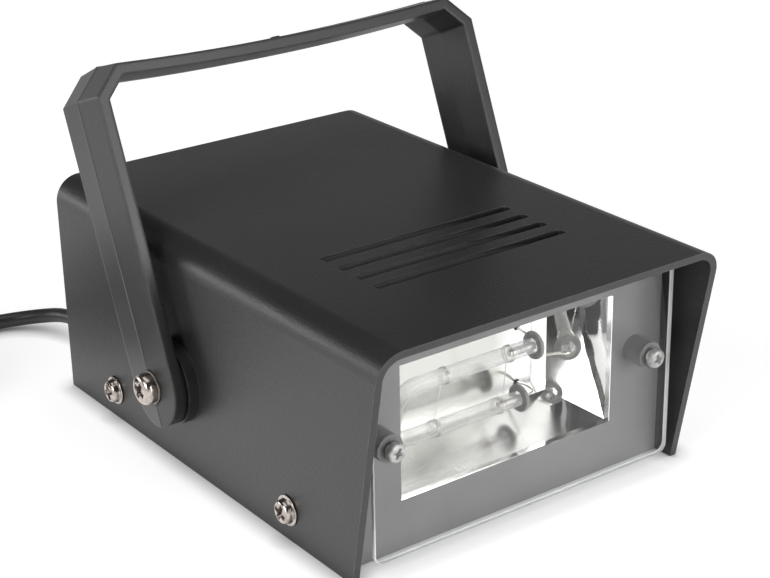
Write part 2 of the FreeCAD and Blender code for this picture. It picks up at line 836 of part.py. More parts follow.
def make_bracket():
    """The moulded bracket, drafted both ways from its parting line."""
    body = new_body("bracket")
    outline = new_sketch(body, "bracket_outline", "XZ_Plane")
    draw_outline(outline, bracket_outline())
    moulding = pad(body, outline, d.arm_width / 2, back=d.arm_width / 2)
    bind(moulding, "TaperAngle", -d.draft_angle)
    bind(moulding, "TaperAngle2", -d.draft_angle)
    doc.recompute()

    # flat lands inside, where the arms rub on the cover's pads
    land = new_sketch(body, "pivot_land", "YZ_Plane", ARM_IN)
    draw_circle(land, 0, 0, d.arm_width - d.wall / 2)
    mirrored(body, pad(body, land, d.arm_thickness / 2))

    # each arm ends in a half round about the pivot
    end = new_sketch(body, "arm_end", "YZ_Plane")
    half = d.arm_width / 2
    draw_outline(end, [
        (-half, 0, half, -1), (0, -half, half, -1), (half, 0), (half * 1.5, 0),
        (half * 1.5, -half * 1.5), (-half * 1.5, -half * 1.5), (-half * 1.5, 0),
    ])
    pocket(body, end, d.body_width * 2, both=True)

    seat = new_sketch(body, "washer_seat", "YZ_Plane", ARM_OUT)
    draw_circle(seat, 0, 0, d.washer_width + d.screw_gap * 2)
    mirrored(body, pocket(body, seat, SEAT_DEPTH))
    holes_across(body, "pivot_bores", [(0, 0)], d.pivot_thread + d.pivot_bore_gap * 2)

    nub = new_sketch(body, "gate_nub", "XY_Plane", d.bracket_reach - d.bar_sag - d.wall)
    draw_circle(nub, d.gate_nub / 2, 0, d.gate_nub)
    pad(body, nub, d.wall + NUB_RISE)
    body.Placement.Rotation = FreeCAD.Rotation(Vector(1, 0, 0), -d.bracket_lean.number)
    place(body, 0, d.pivot_setback, d.pivot_height)
    return body


def make_pivot_screws():
    """The two long screws that the bracket turns on."""
    seat = WASHER_BACK + d.washer_thickness
    length = seat - (HALF_WIDTH - d.wall - d.nut_height) + d.screw_gap
    places = both_sides(seat, d.pivot_setback, d.pivot_height)
    return make_screws("pivot_screws", d.pivot_thread, d.pivot_head_width,
                       d.pivot_head_height, length, places, ["-x", "x"])


def make_rings(name, width, hole, thickness, places, ways, corners=None):
    """Washers, or nuts where corners is their number of sides, one solid each."""
    rings = []
    for number, (at, way) in enumerate(zip(places, ways), start=1):
        disc = solid_rod(f"{name}_disc_{number}", width, thickness, at, way)
        if corners:
            turned = disc.Placement.Rotation
            disc = doc.addObject("Part::Prism", f"{name}_prism_{number}")
            disc.Polygon = corners
            bind(disc, "Circumradius", as_size(width) / (2 * math.cos(math.pi / corners)))
            bind(disc, "Height", thickness)
            disc.Placement.Rotation = turned
            place(disc, *at)
        hollow = solid_rod(f"{name}_hole_{number}", hole, thickness, at, way)
        rings.append(cut_away(f"{name}_{number}", disc, hollow))
    return combine("Part::Compound", name, rings)


def make_pivot_washers():
    """A washer under each pivot screw's head."""
    places = both_sides(WASHER_BACK, d.pivot_setback, d.pivot_height)
    return make_rings("pivot_washers", d.washer_width, d.pivot_thread, d.washer_thickness,
                      places, ["x", "-x"])


def make_pivot_nuts():
    """A nut inside each side wall, on the pivot screw's end."""
    places = both_sides(HALF_WIDTH - d.wall, d.pivot_setback, d.pivot_height)
    return make_rings("pivot_nuts", d.nut_width, d.pivot_thread, d.nut_height,
                      places, ["-x", "x"], corners=6)


# ---------------------------------------------------------------- speed control
def make_potentiometer():
    """The speed control's body and threaded bushing, with its three tags."""
    at = (d.knob_across, REAR_IN - d.pot_depth, d.knob_height)
    can = solid_rod("pot_can", d.pot_width, d.pot_depth, at, "y")
    neck = (d.knob_across, REAR_IN, d.knob_height)
    bushing = solid_rod("pot_bushing", d.bushing_width, d.wall + d.bushing_reach, neck, "y")
    tags = []
    for number in (-1, 0, 1):
        x = d.knob_across + TAG_PITCH * number - TAG_WIDTH / 2
        z = d.knob_height - d.pot_width / 2 - TAG_REACH
        tags.append(solid_box(f"pot_tag_{number + 2}", (x, REAR_IN - d.pot_depth / 2, z),
                              (TAG_WIDTH, TAG_WIDTH / 2, TAG_REACH + d.pot_width / 4)))
    case = combine("Part::MultiFuse", "pot_case", [can, bushing] + tags)
    bore_from = (d.knob_across, REAR_IN - d.pot_depth / 2, d.knob_height)
    bore = solid_rod("pot_bore", d.shaft_width + d.shaft_gap * 2, d.body_depth / 4, bore_from, "y")
    return cut_away("potentiometer", case, bore)


def make_potentiometer_nut():
    """The hexagon nut that holds the control to the rear wall."""
    at = (d.knob_across, REAR_OUT, d.knob_height)
    return make_rings("potentiometer_nut", d.pot_nut_width, d.bushing_width,
                      d.pot_nut_height, [at], ["y"], corners=6)


def make_speed_shaft():
    """The control's spindle, from inside its body to inside the knob."""
    start = REAR_IN - d.pot_depth / 2
    length = KNOB_FACE - d.wall - start
    return solid_rod("speed_shaft", d.shaft_width, length, (d.knob_across, start, d.knob_height), "y")


def make_speed_knob():
    """The fluted knob, hollow behind, with a pointer groove on its face."""
    body = new_body("speed_knob")
    grip = new_sketch(body, "knob_grip", "XZ_Plane")
    draw_circle(grip, 0, 0, d.knob_width)
    pad(body, grip, d.knob_length, reverse=True)
    face = d.knob_length.number
    finish_edges("Chamfer", body, d.knob_width / 18, lambda edge, at: abs(at.y - face) < 0.01)
    groove = new_sketch(body, "knob_flute", "XZ_Plane")
    draw_circle(groove, d.knob_width / 2 + FLUTE_WIDTH / 5, 0, FLUTE_WIDTH)
    cut = pocket(body, groove, d.knob_length)
    ring = body.newObject("PartDesign::PolarPattern", "knob_flutes")
    ring.Originals = [cut]
    ring.Axis = (groove, ["N_Axis"])
    ring.Occurrences = FLUTE_COUNT
    body.Tip = ring
    doc.recompute()
    hollow = new_sketch(body, "knob_hollow", "XZ_Plane")
    draw_circle(hollow, 0, 0, d.knob_width * 0.72)
    pocket(body, hollow, d.bushing_reach + d.knob_gap)
    bore = new_sketch(body, "knob_bore", "XZ_Plane")
    draw_circle(bore, 0, 0, d.shaft_width)
    pocket(body, bore, d.knob_length - d.wall)
    pointer = new_sketch(body, "knob_pointer", "XZ_Plane", -d.knob_length)
    draw_outline(pointer, rectangle(-POINTER_WIDTH / 2, POINTER_WIDTH / 2,
                                    d.knob_width / 9, d.knob_width / 2))
    pocket(body, pointer, POINTER_DEPTH, reverse=True)
    place(body, d.knob_across, KNOB_BACK, d.knob_height)
    return body


# ---------------------------------------------------------------- circuit board
def make_circuit_board():
    """The driver board on its four posts."""
    body = new_body("circuit_board")
    outline = new_sketch(body, "board_outline", "XY_Plane", d.board_height)
    half = d.board_width / 2
    far = d.board_setback + d.board_length
    draw_outline(outline, round_rectangle(-half, half, d.board_setback, far, d.wall))
    for x, y in board_corners():
        draw_circle(outline, x, y, d.post_screw + d.screw_gap)
    pad(body, outline, d.board_thickness)
    place(body)
    return body


def make_board_screws():
    """Four small screws through the board into its posts."""
    places = [(x, y, BOARD_TOP) for x, y in board_corners()]
    return make_screws("board_screws", d.post_screw, d.post_screw * 2, d.post_screw * 0.7,
                       d.board_height * 0.7, places, ["-z"] * 4)


def on_board(x, setback, lift=0):
    """A place on the board's upper face, counted from the middle of its front edge."""
    return (as_size(x), d.board_setback + setback, BOARD_TOP + lift)


def make_storage_capacitors():
    """The two cans that store the flash energy."""
    cans = [solid_rod(f"storage_can_{n}", d.can_width, d.can_length, on_board(-26, 2 + d.can_pitch * n))
            for n in (1, 2)]
    return combine("Part::Compound", "storage_capacitors", cans)


def make_ballast_resistor():
    """The ceramic resistor that limits the charging current."""
    size = (d.resistor_width, d.resistor_length, d.resistor_height)
    return solid_box("ballast_resistor", on_board(28, 14), size)


def make_trigger_coil():
    """The small transformer that raises the trigger pulse."""
    core = solid_rod("trigger_core", d.winding_width, d.winding_length, on_board(2, 16))
    flanges = [solid_rod(f"trigger_flange_{n}", d.flange_width, d.flange_thickness,
                         on_board(2, 16, d.winding_length * n)) for n in (0, 1)]
    return combine("Part::MultiFuse", "trigger_coil", [core] + flanges)


def make_film_capacitors():
    """The trigger capacitor and the timing capacitor."""
    size = (d.film_width, d.film_depth, d.film_height)
    blocks = [solid_box(f"film_block_{n}", on_board(14, 12 * n), size) for n in (1, 2)]
    return combine("Part::Compound", "film_capacitors", blocks)


def make_thyristor():
    """The thyristor that fires the trigger coil, upright on its legs."""
    case = solid_box("thyristor_case", on_board(0, 36, 3), (10, 4.4, 9))
    tab = solid_box("thyristor_tab", on_board(0, 39.1, 3), (10, 1.3, 15.5))
    legs = [solid_box(f"thyristor_leg_{n}", on_board(1.7 + 2.54 * n, 37.6), (0.8, 0.6, 4))
            for n in range(3)]
    return combine("Part::MultiFuse", "thyristor", [case, tab] + legs)


def make_rectifier_diodes():
    """The two diodes of the voltage doubler, each on bent legs."""
    diodes = []
    for n, y in enumerate((50, 57), start=1):
        barrel = solid_rod(f"diode_barrel_{n}", 2.7, 5.2, on_board(2.4, y, 2.2), "x")
        wire = solid_rod(f"diode_wire_{n}", 0.8, 10, on_board(0, y, 2.2), "x")
        legs = [solid_rod(f"diode_leg_{n}_{m}", 0.8, 2.2, on_board(x, y))
                for m, x in enumerate((0.4, 9.6))]
        diodes.append(combine("Part::MultiFuse", f"diode_{n}", [barrel, wire] + legs))
    return combine("Part::Compound", "rectifier_diodes", diodes)


def make_fuse():
    """The glass mains fuse."""
    lift = d.clip_height - d.fuse_width / 2 + 0.6
    return solid_rod("fuse", d.fuse_width, d.fuse_length, on_board(-4, 72, lift), "x")


def make_fuse_clips():
    """The two spring clips that hold the fuse by its caps."""
    clips = []
    lift = d.clip_height - d.fuse_width / 2 + 0.6
    width = d.fuse_width + 2
    for n, x in enumerate((-4, -4 + d.fuse_length - d.clip_length), start=1):
        block = solid_box(f"clip_block_{n}", on_board(x, 72 - width / 2),
                          (d.clip_length, width, d.clip_height))
        seat = solid_rod(f"clip_seat_{n}", d.fuse_width, d.clip_length, on_board(x, 72, lift), "x")
        clips.append(cut_away(f"fuse_clip_{n}", block, seat))
    return combine("Part::Compound", "fuse_clips", clips)


# ---------------------------------------------------------------- lead
def make_strain_relief():
    """The rubber grommet and tapered sleeve where the lead leaves the rear wall."""
    body = new_body("strain_relief")
    profile = new_sketch(body, "relief_profile", "XY_Plane")
    inside = REAR_IN - d.wall
    tip = REAR_OUT + d.relief_length
    draw_outline(profile, [
        (0, inside), (d.relief_flange / 2 - d.wall / 4, inside),
        (d.relief_flange / 2 - d.wall / 4, REAR_IN), (RELIEF_NECK / 2, REAR_IN),
        (RELIEF_NECK / 2, REAR_OUT), (d.relief_flange / 2, REAR_OUT),
        (d.relief_flange / 2, REAR_OUT + d.wall), (d.relief_width / 2, REAR_OUT + d.wall),
        (d.cord_width / 2 + 1, tip), (0, tip),
    ])
    turned = body.newObject("PartDesign::Revolution", "relief_turned")
    turned.Profile = profile
    turned.ReferenceAxis = (profile, ["V_Axis"])
    turned.Angle = 360
    doc.recompute()
    place(body, d.cord_across, 0, d.cord_height)
    return body


def cord_exit():
    """Where the lead leaves its strain relief."""
    tip = FRONT + REAR_OUT + d.relief_length
    return Vector(d.cord_across.number, tip.number, d.cord_height.number)


def coil_centre():
    """The middle of the coil, on the surface that the lamp stands on."""
    middle = cord_exit() + Vector(*COIL_OFFSET, 0)
    return Vector(middle.x, middle.y, 0)


def make_cord_coil():
    """The outer shape of the wound part of the lead."""
    body = new_body("cord_coil")
    section = new_sketch(body, "coil_section", "XZ_Plane")
    half = d.cord_width * d.coil_columns / 2
    inner = d.coil_width / 2 - half
    outer = d.coil_width / 2 + half
    low = d.tie_thickness
    high = low + d.cord_width * d.coil_layers
    cut = d.cord_width / 3
    draw_outline(section, [
        (inner + cut, low), (outer - cut, low), (outer, low + cut), (outer, high - cut),
        (outer - cut, high), (inner + cut, high), (inner, high - cut), (inner, low + cut),
    ])
    ring = body.newObject("PartDesign::Revolution", "coil_ring")
    ring.Profile = section
    ring.ReferenceAxis = (section, ["V_Axis"])
    ring.Angle = 360
    body.Placement.Base = coil_centre()
    doc.recompute()
    return body


def make_power_cord(coil):
    """The lead from its strain relief along the ground to the coil, which it meets."""
    start = cord_exit()
    points = [start + Vector(*offset) for offset in CORD_ROUTE]
    tube, path, radii = round_pipe(points, d.cord_width.number)
    print("cord radii:", ", ".join(f"{r:.1f}" for r in radii))
    section = math.pi * d.cord_width.number ** 2 / 4
    print(f"cord volume {tube.Volume:.1f}, section times length {section * path.Length:.1f}")
    return made_shape("power_cord", tube.cut(coil.Shape))


def make_cord_tie(coil):
    """The strap round the coil."""
    middle = d.coil_width.number / 2
    half = (d.cord_width * d.coil_columns).number / 2
    skin = d.tie_thickness.number
    height = (d.cord_width * d.coil_layers).number
    box = Part.makeBox(TIE_WIDTH, 2 * (half + skin), height + 2 * skin,
                       Vector(-TIE_WIDTH / 2, -middle - half - skin, 0))
    box.Placement.Base = coil_centre() + box.Placement.Base
    return made_shape("cord_tie", box.cut(coil.Shape).Solids[0])


def plug_place():
    """Where the plug's tail lies: on top of the coil."""
    top = (d.tie_thickness + d.cord_width * d.coil_layers).number
    return coil_centre() + Vector(PLUG_TAIL, 0, top)


def make_plug_body():
    """The flat moulded plug."""
    body = new_body("plug_body")
    outline = new_sketch(body, "plug_outline", "XY_Plane")
    length = d.plug_length
    half = d.plug_width / 2
    tail = d.cord_width
    draw_outline(outline, [
        (0, -tail), (length * 0.28, -tail), (length * 0.62, -half), (length, -half),
        (length, half), (length * 0.62, half), (length * 0.28, tail), (0, tail),
    ])
    pad(body, outline, d.plug_thickness)
    finish_edges("Fillet", body, d.wall, lambda edge, at: abs(edge.tangentAt(
        edge.FirstParameter).z) < 0.1 and 1 < at.x < d.plug_length.number - 1)
    body.Placement.Base = plug_place()
    doc.recompute()
    return body


def make_plug_pins():
    """The plug's two round pins."""
    base = plug_place()
    pins = []
    for number, side in enumerate((-1, 1), start=1):
        pin = doc.addObject("Part::Cylinder", f"plug_pin_{number}")
        bind(pin, "Radius", d.pin_width / 2)
        bind(pin, "Height", d.pin_length)
        across = d.pin_spacing.number / 2 * side
        at = Vector(d.plug_length.number, across, d.plug_thickness.number / 2)
        pin.Placement = FreeCAD.Placement(base + at, FreeCAD.Rotation(Vector(0, 1, 0), 90))
        pins.append(pin)
    return combine("Part::Compound", "plug_pins", pins)


# ---------------------------------------------------------------- the lamp
def make_lamp():
    """Build every piece and list those that are written out."""
    coil = make_cord_coil()
    return [
        make_chassis(), make_top_cover(), make_cover_screws(),
        make_lens_sheet(), make_lens_screws(), make_mirror(),
        make_flash_tube(), make_tube_collars(), make_tube_leads(), make_trigger_wire(),
        make_bracket(), make_pivot_screws(), make_pivot_washers(), make_pivot_nuts(),
        make_potentiometer(), make_potentiometer_nut(), make_speed_shaft(), make_speed_knob(),
        make_circuit_board(), make_board_screws(), make_storage_capacitors(),
        make_ballast_resistor(), make_trigger_coil(), make_film_capacitors(),
        make_thyristor(), make_rectifier_diodes(), make_fuse(), make_fuse_clips(),
        make_strain_relief(), make_power_cord(coil), coil, make_cord_tie(coil),
        make_plug_body(), make_plug_pins(),
    ]


def check_and_write(pieces):
    """Stop at anything that failed to build, then write one STEP file for each piece."""
    doc.recompute()
    for thing in doc.Objects:
        if "Invalid" in thing.State or "Error" in thing.State:
            raise RuntimeError(f"{thing.Name} did not build: {thing.State}")
    for piece in pieces:
        if piece.Shape.isNull() or not piece.Shape.isValid():
            raise RuntimeError(f"{piece.Label} has no valid shape")
    os.makedirs("parts", exist_ok=True)
    for piece in pieces:
        piece.Shape.exportStep(f"parts/{piece.Label}.step")
        print(f"{piece.Label}: {piece.Shape.Volume:.0f} mm3, {len(piece.Shape.Solids)} solids")


check_and_write(make_lamp())
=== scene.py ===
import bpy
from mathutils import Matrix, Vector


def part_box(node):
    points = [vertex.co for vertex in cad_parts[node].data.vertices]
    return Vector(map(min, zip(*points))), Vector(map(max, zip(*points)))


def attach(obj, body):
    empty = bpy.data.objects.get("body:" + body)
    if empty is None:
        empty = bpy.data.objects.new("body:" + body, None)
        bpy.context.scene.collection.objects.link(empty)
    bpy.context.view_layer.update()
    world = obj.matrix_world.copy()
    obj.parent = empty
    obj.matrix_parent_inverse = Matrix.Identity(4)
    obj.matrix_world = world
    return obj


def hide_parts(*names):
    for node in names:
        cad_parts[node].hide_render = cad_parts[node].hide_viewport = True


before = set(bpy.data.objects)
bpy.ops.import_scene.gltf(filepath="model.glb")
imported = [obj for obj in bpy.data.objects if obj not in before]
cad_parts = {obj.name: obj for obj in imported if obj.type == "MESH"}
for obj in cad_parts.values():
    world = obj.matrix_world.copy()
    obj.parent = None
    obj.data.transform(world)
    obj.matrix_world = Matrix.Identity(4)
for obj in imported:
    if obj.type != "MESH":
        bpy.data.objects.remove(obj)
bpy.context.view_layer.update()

"""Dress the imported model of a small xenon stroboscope.

Everything is in metres in the row's own frame: +Z up, the window along -Y.
"""
import logging
import math
from dataclasses import dataclass
from enum import Enum
from typing import Any, Optional, Sequence

import bmesh
import bpy
from mathutils import Matrix, Vector

LOG = logging.getLogger("stroboscope")
MM = 0.001
TINY = 1e-7
Point = Sequence[float]
Socket = bpy.types.NodeSocket
Vert = bmesh.types.BMVert
Piece = bpy.types.Object
Profile = Sequence[tuple[float, float]]


class Body(Enum):
    """The rigid bodies that pieces ride on."""

    HOUSING = "housing"
    BRACKET = "bracket"


class Way(Enum):
    """The direction that a turned piece's axis points in."""

    LEFT = (-1.0, 0.0, 0.0)
    RIGHT = (1.0, 0.0, 0.0)
    FRONT = (0.0, -1.0, 0.0)
    BACK = (0.0, 1.0, 0.0)


def put(thing: Any, **settings: object) -> Any:
    """Set several properties of a thing.

    Args:
        thing: the thing.
        **settings: its properties by name.

    Returns:
        The same thing.
    """
    for key, value in settings.items():
        setattr(thing, key, value)
    return thing


def stand(name: str, data: bpy.types.ID) -> Piece:
    """Put data into the scene.

    Args:
        name: the object's name.
        data: its mesh, curve, lamp or camera.

    Returns:
        The new object.
    """
    piece = bpy.data.objects.new(name, data)
    bpy.context.scene.collection.objects.link(piece)
    return piece


# ---------- finishes
class Nodes:
    """A node tree, with short calls for the nodes that it uses."""

    def __init__(self, tree: bpy.types.NodeTree) -> None:
        """Take a node tree."""
        self.tree = tree

    def node(self, kind: str, *values: object, settings: Optional[dict] = None,
             **sockets: object) -> bpy.types.Node:
        """Add a node. Each input gets a value or a socket to link, or None to stay as it is.

        Args:
            kind: the node's type, without the words that all start with.
            *values: its first inputs, in order.
            settings: the node's own properties.
            **sockets: inputs by name, with _ for a space.

        Returns:
            The new node.
        """
        made = put(self.tree.nodes.new("ShaderNode" + kind), **(settings or {}))
        for socket, value in zip(made.inputs, values):
            self.feed(socket, value)
        for key, value in sockets.items():
            self.feed(made.inputs[key.replace("_", " ")], value)
        return made

    def feed(self, socket: Socket, value: object) -> None:
        """Set an input socket, or link it.

        Args:
            socket: the input.
            value: a number, a colour, an output socket, or None to leave the input as it is.
        """
        if isinstance(value, Socket):
            self.tree.links.new(value, socket)
        elif value is not None:
            socket.default_value = value

    def number(self, operation: str, *values: object, **settings: object) -> Socket:
        """Work out a number from numbers."""
        return self.node("Math", *values, settings={"operation": operation, **settings}).outputs[0]

    def measure(self, operation: str, *values: object) -> Socket:
        """Work out a number from vectors."""
        return self.node("VectorMath", *values, settings={"operation": operation}).outputs["Value"]

    def spread(self, value: object, low: float, high: float, start: float = 0.3,
               stop: float = 0.7) -> Socket:
        """Turn a value from start to stop into one from low to high, and hold it beyond both."""
        return self.node("MapRange", value, start, stop, low, high).outputs["Result"]

    def mix(self, share: object, first: object, second: object) -> Socket:
        """Mix two numbers, with a share of the second."""
        return self.node("Mix", share, None, first, second).outputs[0]

    def blend(self, share: object, first: object, second: object) -> Socket:
        """Mix two colours, each a colour or a socket, with a share of the second."""
        pair = [c if isinstance(c, Socket) else (*c, 1.0) for c in (first, second)]
        return self.node("Mix", share, *[None] * 5, *pair, settings={"data_type": "RGBA"}).outputs[2]


class Shader(Nodes):
    """A material's node tree."""

    def __init__(self, name: str) -> None:
        """Start a material.

        Args:
            name: the material's name.
        """
        self.material = put(bpy.data.materials.new(name), use_nodes=True)
        super().__init__(self.material.node_tree)
        self.surface = self.tree.nodes["Principled BSDF"]
        self.output = self.tree.nodes["Material Output"]
        self.place = self.node("TexCoord").outputs["Object"]

    def set(self, **sockets: object) -> None:
        """Set or link the surface's own sockets, by name, with _ for a space."""
        for key, value in sockets.items():
            self.feed(self.surface.inputs[key.replace("_", " ")], value)

    def noise(self, size: float, detail: float = 2.0, stretch: Point = (1, 1, 1)) -> Socket:
        """A noise whose features have a size in millimetres, with each axis scaled first."""
        moved = self.node("Mapping", Vector=self.place, Scale=stretch).outputs["Vector"]
        return self.node("TexNoise", Vector=moved, Scale=1.0 / (size * MM), Detail=detail,
                         Roughness=0.55).outputs["Fac"]

    def rounded(self, reach: float, samples: int) -> Socket:
        """The normal that the surface would have with its corners rounded, by some millimetres."""
        return self.node("Bevel", settings={"samples": samples}, Radius=reach * MM).outputs["Normal"]

    def edges(self, reach: float) -> Socket:
        """A value near 0 on flat ground that rises within a reach of a corner."""
        return self.measure("DISTANCE", self.rounded(reach, 4), self.node("NewGeometry").outputs["Normal"])

    def bump(self, height: object, depth: float, under: object = None) -> Socket:
        """Turn a height into a normal, with a depth in millimetres, on top of another normal or none."""
        return self.node("Bump", Height=height, Distance=depth * MM, Strength=1.0,
                         Normal=under).outputs["Normal"]


@dataclass(frozen=True)
class Finish:
    """A surface with mottled colour, uneven roughness and a fine relief. Lengths are in millimetres."""

    name: str
    colour: Point
    roughness: float = 0.5
    metallic: float = 0.0
    grain: float = 0.6
    depth: float = 0.03
    mottle: float = 0.12
    patch: float = 25.0
    stretch: Point = (1, 1, 1)
    uneven: float = 0.04

    def build(self) -> bpy.types.Material:
        """Make the material, once.

        Returns:
            The new material, or the one that was made before.
        """
        known = bpy.data.materials.get(self.name)
        if known is not None:
            return known
        shader = Shader(self.name)
        self.dress(shader)
        shader.material.diffuse_color = (*self.colour, 1.0)
        return shader.material

    def rough(self, shader: Shader, pattern: object) -> Socket:
        """The roughness, which strays to both sides as a pattern does."""
        return shader.spread(pattern, self.roughness - self.uneven, self.roughness + self.uneven)

    def dress(self, shader: Shader) -> None:
        """Give the shader its colour, roughness and relief.

        Args:
            shader: the material's node tree.
        """
        cloud = shader.noise(self.patch, 3.0)
        grain = shader.noise(self.grain, 2.0, self.stretch)
        dark = [c * (1 - self.mottle) for c in self.colour]
        light = [min(1.0, c * (1 + self.mottle)) for c in self.colour]
        shader.set(
            Base_Color=shader.blend(shader.spread(cloud, 0.0, 1.0), dark, light),
            Roughness=self.rough(shader, cloud),
            Metallic=self.metallic,
            Normal=shader.bump(grain, self.depth),
        )


@dataclass(frozen=True)
class MouldedPlastic(Finish):
    """Moulded plastic: spark-eroded grain, pale specks where it is rubbed, corners lightened as wear and
    painted highlight, and a patch of painted light.
    """

    uneven: float = 0.02
    pit_rate: float = 0.45
    pit_depth: float = 0.8
    speck: Point = (0.07, 0.07, 0.07)
    rub: float = 0.25
    rub_from: Point = (0.58, 0.75)
    # Corners lightened, partly as wear and partly as painted highlight.
    wear_and_highlight: float = 0.0
    wear_and_highlight_from: Point = (0.12, 0.7)
    wear_and_highlight_width: float = 0.5
    wear_and_highlight_patch: float = 4.0
    wear_and_highlight_spread: Point = (0.2, 1.0, 0.35, 0.6)
    worn_and_lit: Point = (0.16, 0.16, 0.16)
    # Painted light: the colour, centre, reach and fade of a paler patch that lights the vents' walls.
    dust_and_painted_light: Point = (0.06, 0.06, 0.06)
    painted_light_at: Optional[Point] = None
    painted_light_reach: Point = (1, 1, 1)
    painted_light_fade: Point = (0.88, 1.0)
    soft: float = 0.0

    def dress(self, shader: Shader) -> None:
        """Add pits, rubbed specks, corners lightened as wear and painted highlight, and a patch of painted
        light to the plain finish.

        Args:
            shader: the material's node tree.
        """
        cloud = shader.noise(self.patch, 4.0)
        grain = shader.noise(self.grain, 3.0, self.stretch)
        pits = shader.node("TexVoronoi", Vector=shader.place,
                           Scale=self.pit_rate / (self.grain * MM)).outputs["Distance"]
        tone = shader.spread(cloud, 1 - self.mottle, 1 + self.mottle)
        base = shader.blend(shader.spread(grain, 0.0, self.rub, *self.rub_from), self.colour, self.speck)
        # Lighter corners: partly wear, partly painted highlight; on the cover this also lights the vents'
        # narrow walls as painted light.
        if self.wear_and_highlight > 0:
            corner = shader.spread(shader.edges(self.wear_and_highlight_width), 0.0, self.wear_and_highlight, *self.wear_and_highlight_from)
            patchy = shader.spread(shader.noise(self.wear_and_highlight_patch, 4.0), *self.wear_and_highlight_spread)
            base = shader.blend(shader.number("MULTIPLY", corner, patchy), base, self.worn_and_lit)
        # Painted light: a paler colour within an ellipsoid round the vents, fading outward, stands in for
        # light on their walls.
        if self.painted_light_at is not None:
            near = shader.node("Mapping", settings={"vector_type": "TEXTURE"}, Vector=shader.place,
                               Location=Vector(self.painted_light_at) * MM, Scale=Vector(self.painted_light_reach) * MM)
            away = shader.measure("LENGTH", near.outputs["Vector"])
            base = shader.blend(shader.spread(away, 1.0, 0.0, *self.painted_light_fade), base, self.dust_and_painted_light)
        toned = shader.node("VectorMath", base, settings={"operation": "SCALE"}, Scale=tone)
        smooth = shader.rounded(self.soft, 6) if self.soft > 0 else None
        fine = shader.bump(grain, self.depth, smooth)
        shader.set(
            Base_Color=toned.outputs[0],
            Roughness=self.rough(shader, cloud),
            Normal=shader.bump(pits, self.depth * self.pit_depth, fine),
        )


@dataclass(frozen=True)
class PolishedFoil(Finish):
    """Bright rolled aluminium, slightly wavy, with faint rolling lines and dulled patches.

    Its right end is polished, its back wall less bright, and the end behind the tube's bend is coloured near
    black as a painted dark reflection.
    """

    wave: float = 9.0
    wave_depth: float = 0.05
    dulling: tuple[float, float] = (0.8, 1.25)
    end_starts: float = 18.0
    end_fade: float = 8.0
    end_roughness: float = 0.025
    # Painted dark reflection at the end behind the tube's bend: where it starts, its fade and its colour.
    bend_end: float = -38.2
    bend_fade: float = 0.4
    bend_painted_dark_reflection: Point = (0.02, 0.02, 0.02)
    back: float = -51.6
    back_fade: Point = (9.0, 1.0)
    back_colour: Point = (0.62, 0.62, 0.59)

    def dress(self, shader: Shader) -> None:
        """Give the metal its waves, rolling lines and dull patches.

        Args:
            shader: the material's node tree.
        """
        waved = shader.bump(shader.noise(self.wave, 1.0), self.wave_depth)
        lines = shader.noise(self.grain, 1.0, self.stretch)
        cloud = shader.noise(self.patch, 3.0)
        axes = shader.node("SeparateXYZ", shader.place).outputs
        right, rear, left = self.end_starts * MM, self.back * MM, self.bend_end * MM
        end = shader.spread(axes["X"], 0.0, 1.0, right, right + self.end_fade * MM)
        # Painted dark reflection: the foil turns near black at its left end, behind the tube's bend.
        bend = shader.spread(axes["X"], 1.0, 0.0, left, left + self.bend_fade * MM)
        across, along = (fade * MM for fade in self.back_fade)
        deep = shader.number("MULTIPLY", shader.spread(axes["Y"], 0.0, 1.0, rear - along, rear),
                             shader.spread(axes["X"], 1.0, 0.0, right - across, right))
        dull = [c * (1 - self.mottle) for c in self.colour]
        mottled = shader.blend(shader.spread(cloud, 0.0, 1.0), self.colour, dull)
        bright = shader.blend(deep, mottled, self.back_colour)
        matt = shader.spread(cloud, *(self.roughness * share for share in self.dulling))
        shader.set(
            Base_Color=shader.blend(bend, bright, self.bend_painted_dark_reflection),
            Metallic=1.0,
            Roughness=shader.mix(end, matt, self.end_roughness),
            Normal=shader.bump(lines, self.depth, waved),
        )


@dataclass(frozen=True)
class ClearPlastic(Finish):
    """A clear sheet that mirrors more at a slant, with a faint haze of dust and scratches."""

    uneven: float = 0.015
    face_on: float = 0.014
    haze: float = 0.15
    steepness: float = 5.0
    dusty: Point = (0.96, 0.96, 0.96)

    def dress(self, shader: Shader) -> None:
        """Let light through, except for what the faces mirror.

        Args:
            shader: the material's node tree.
        """
        slant = shader.node("LayerWeight", Blend=0.5).outputs["Facing"]
        steep = shader.number("POWER", slant, self.steepness)
        dust_and_painted_light = shader.noise(self.patch, 4.0)
        film = shader.spread(dust_and_painted_light, self.face_on * (1 - self.haze), self.face_on * (1 + self.haze))
        scuffs = shader.noise(self.grain, 2.0, self.stretch)
        shader.set(
            Base_Color=shader.blend(shader.spread(dust_and_painted_light, 0.0, 1.0), self.colour, self.dusty),
            Metallic=1.0,
            Roughness=self.rough(shader, scuffs),
            Alpha=shader.number("MULTIPLY_ADD", steep, 1.0 - self.face_on, film, use_clamp=True),
        )
        shader.material.surface_render_method = "BLENDED"


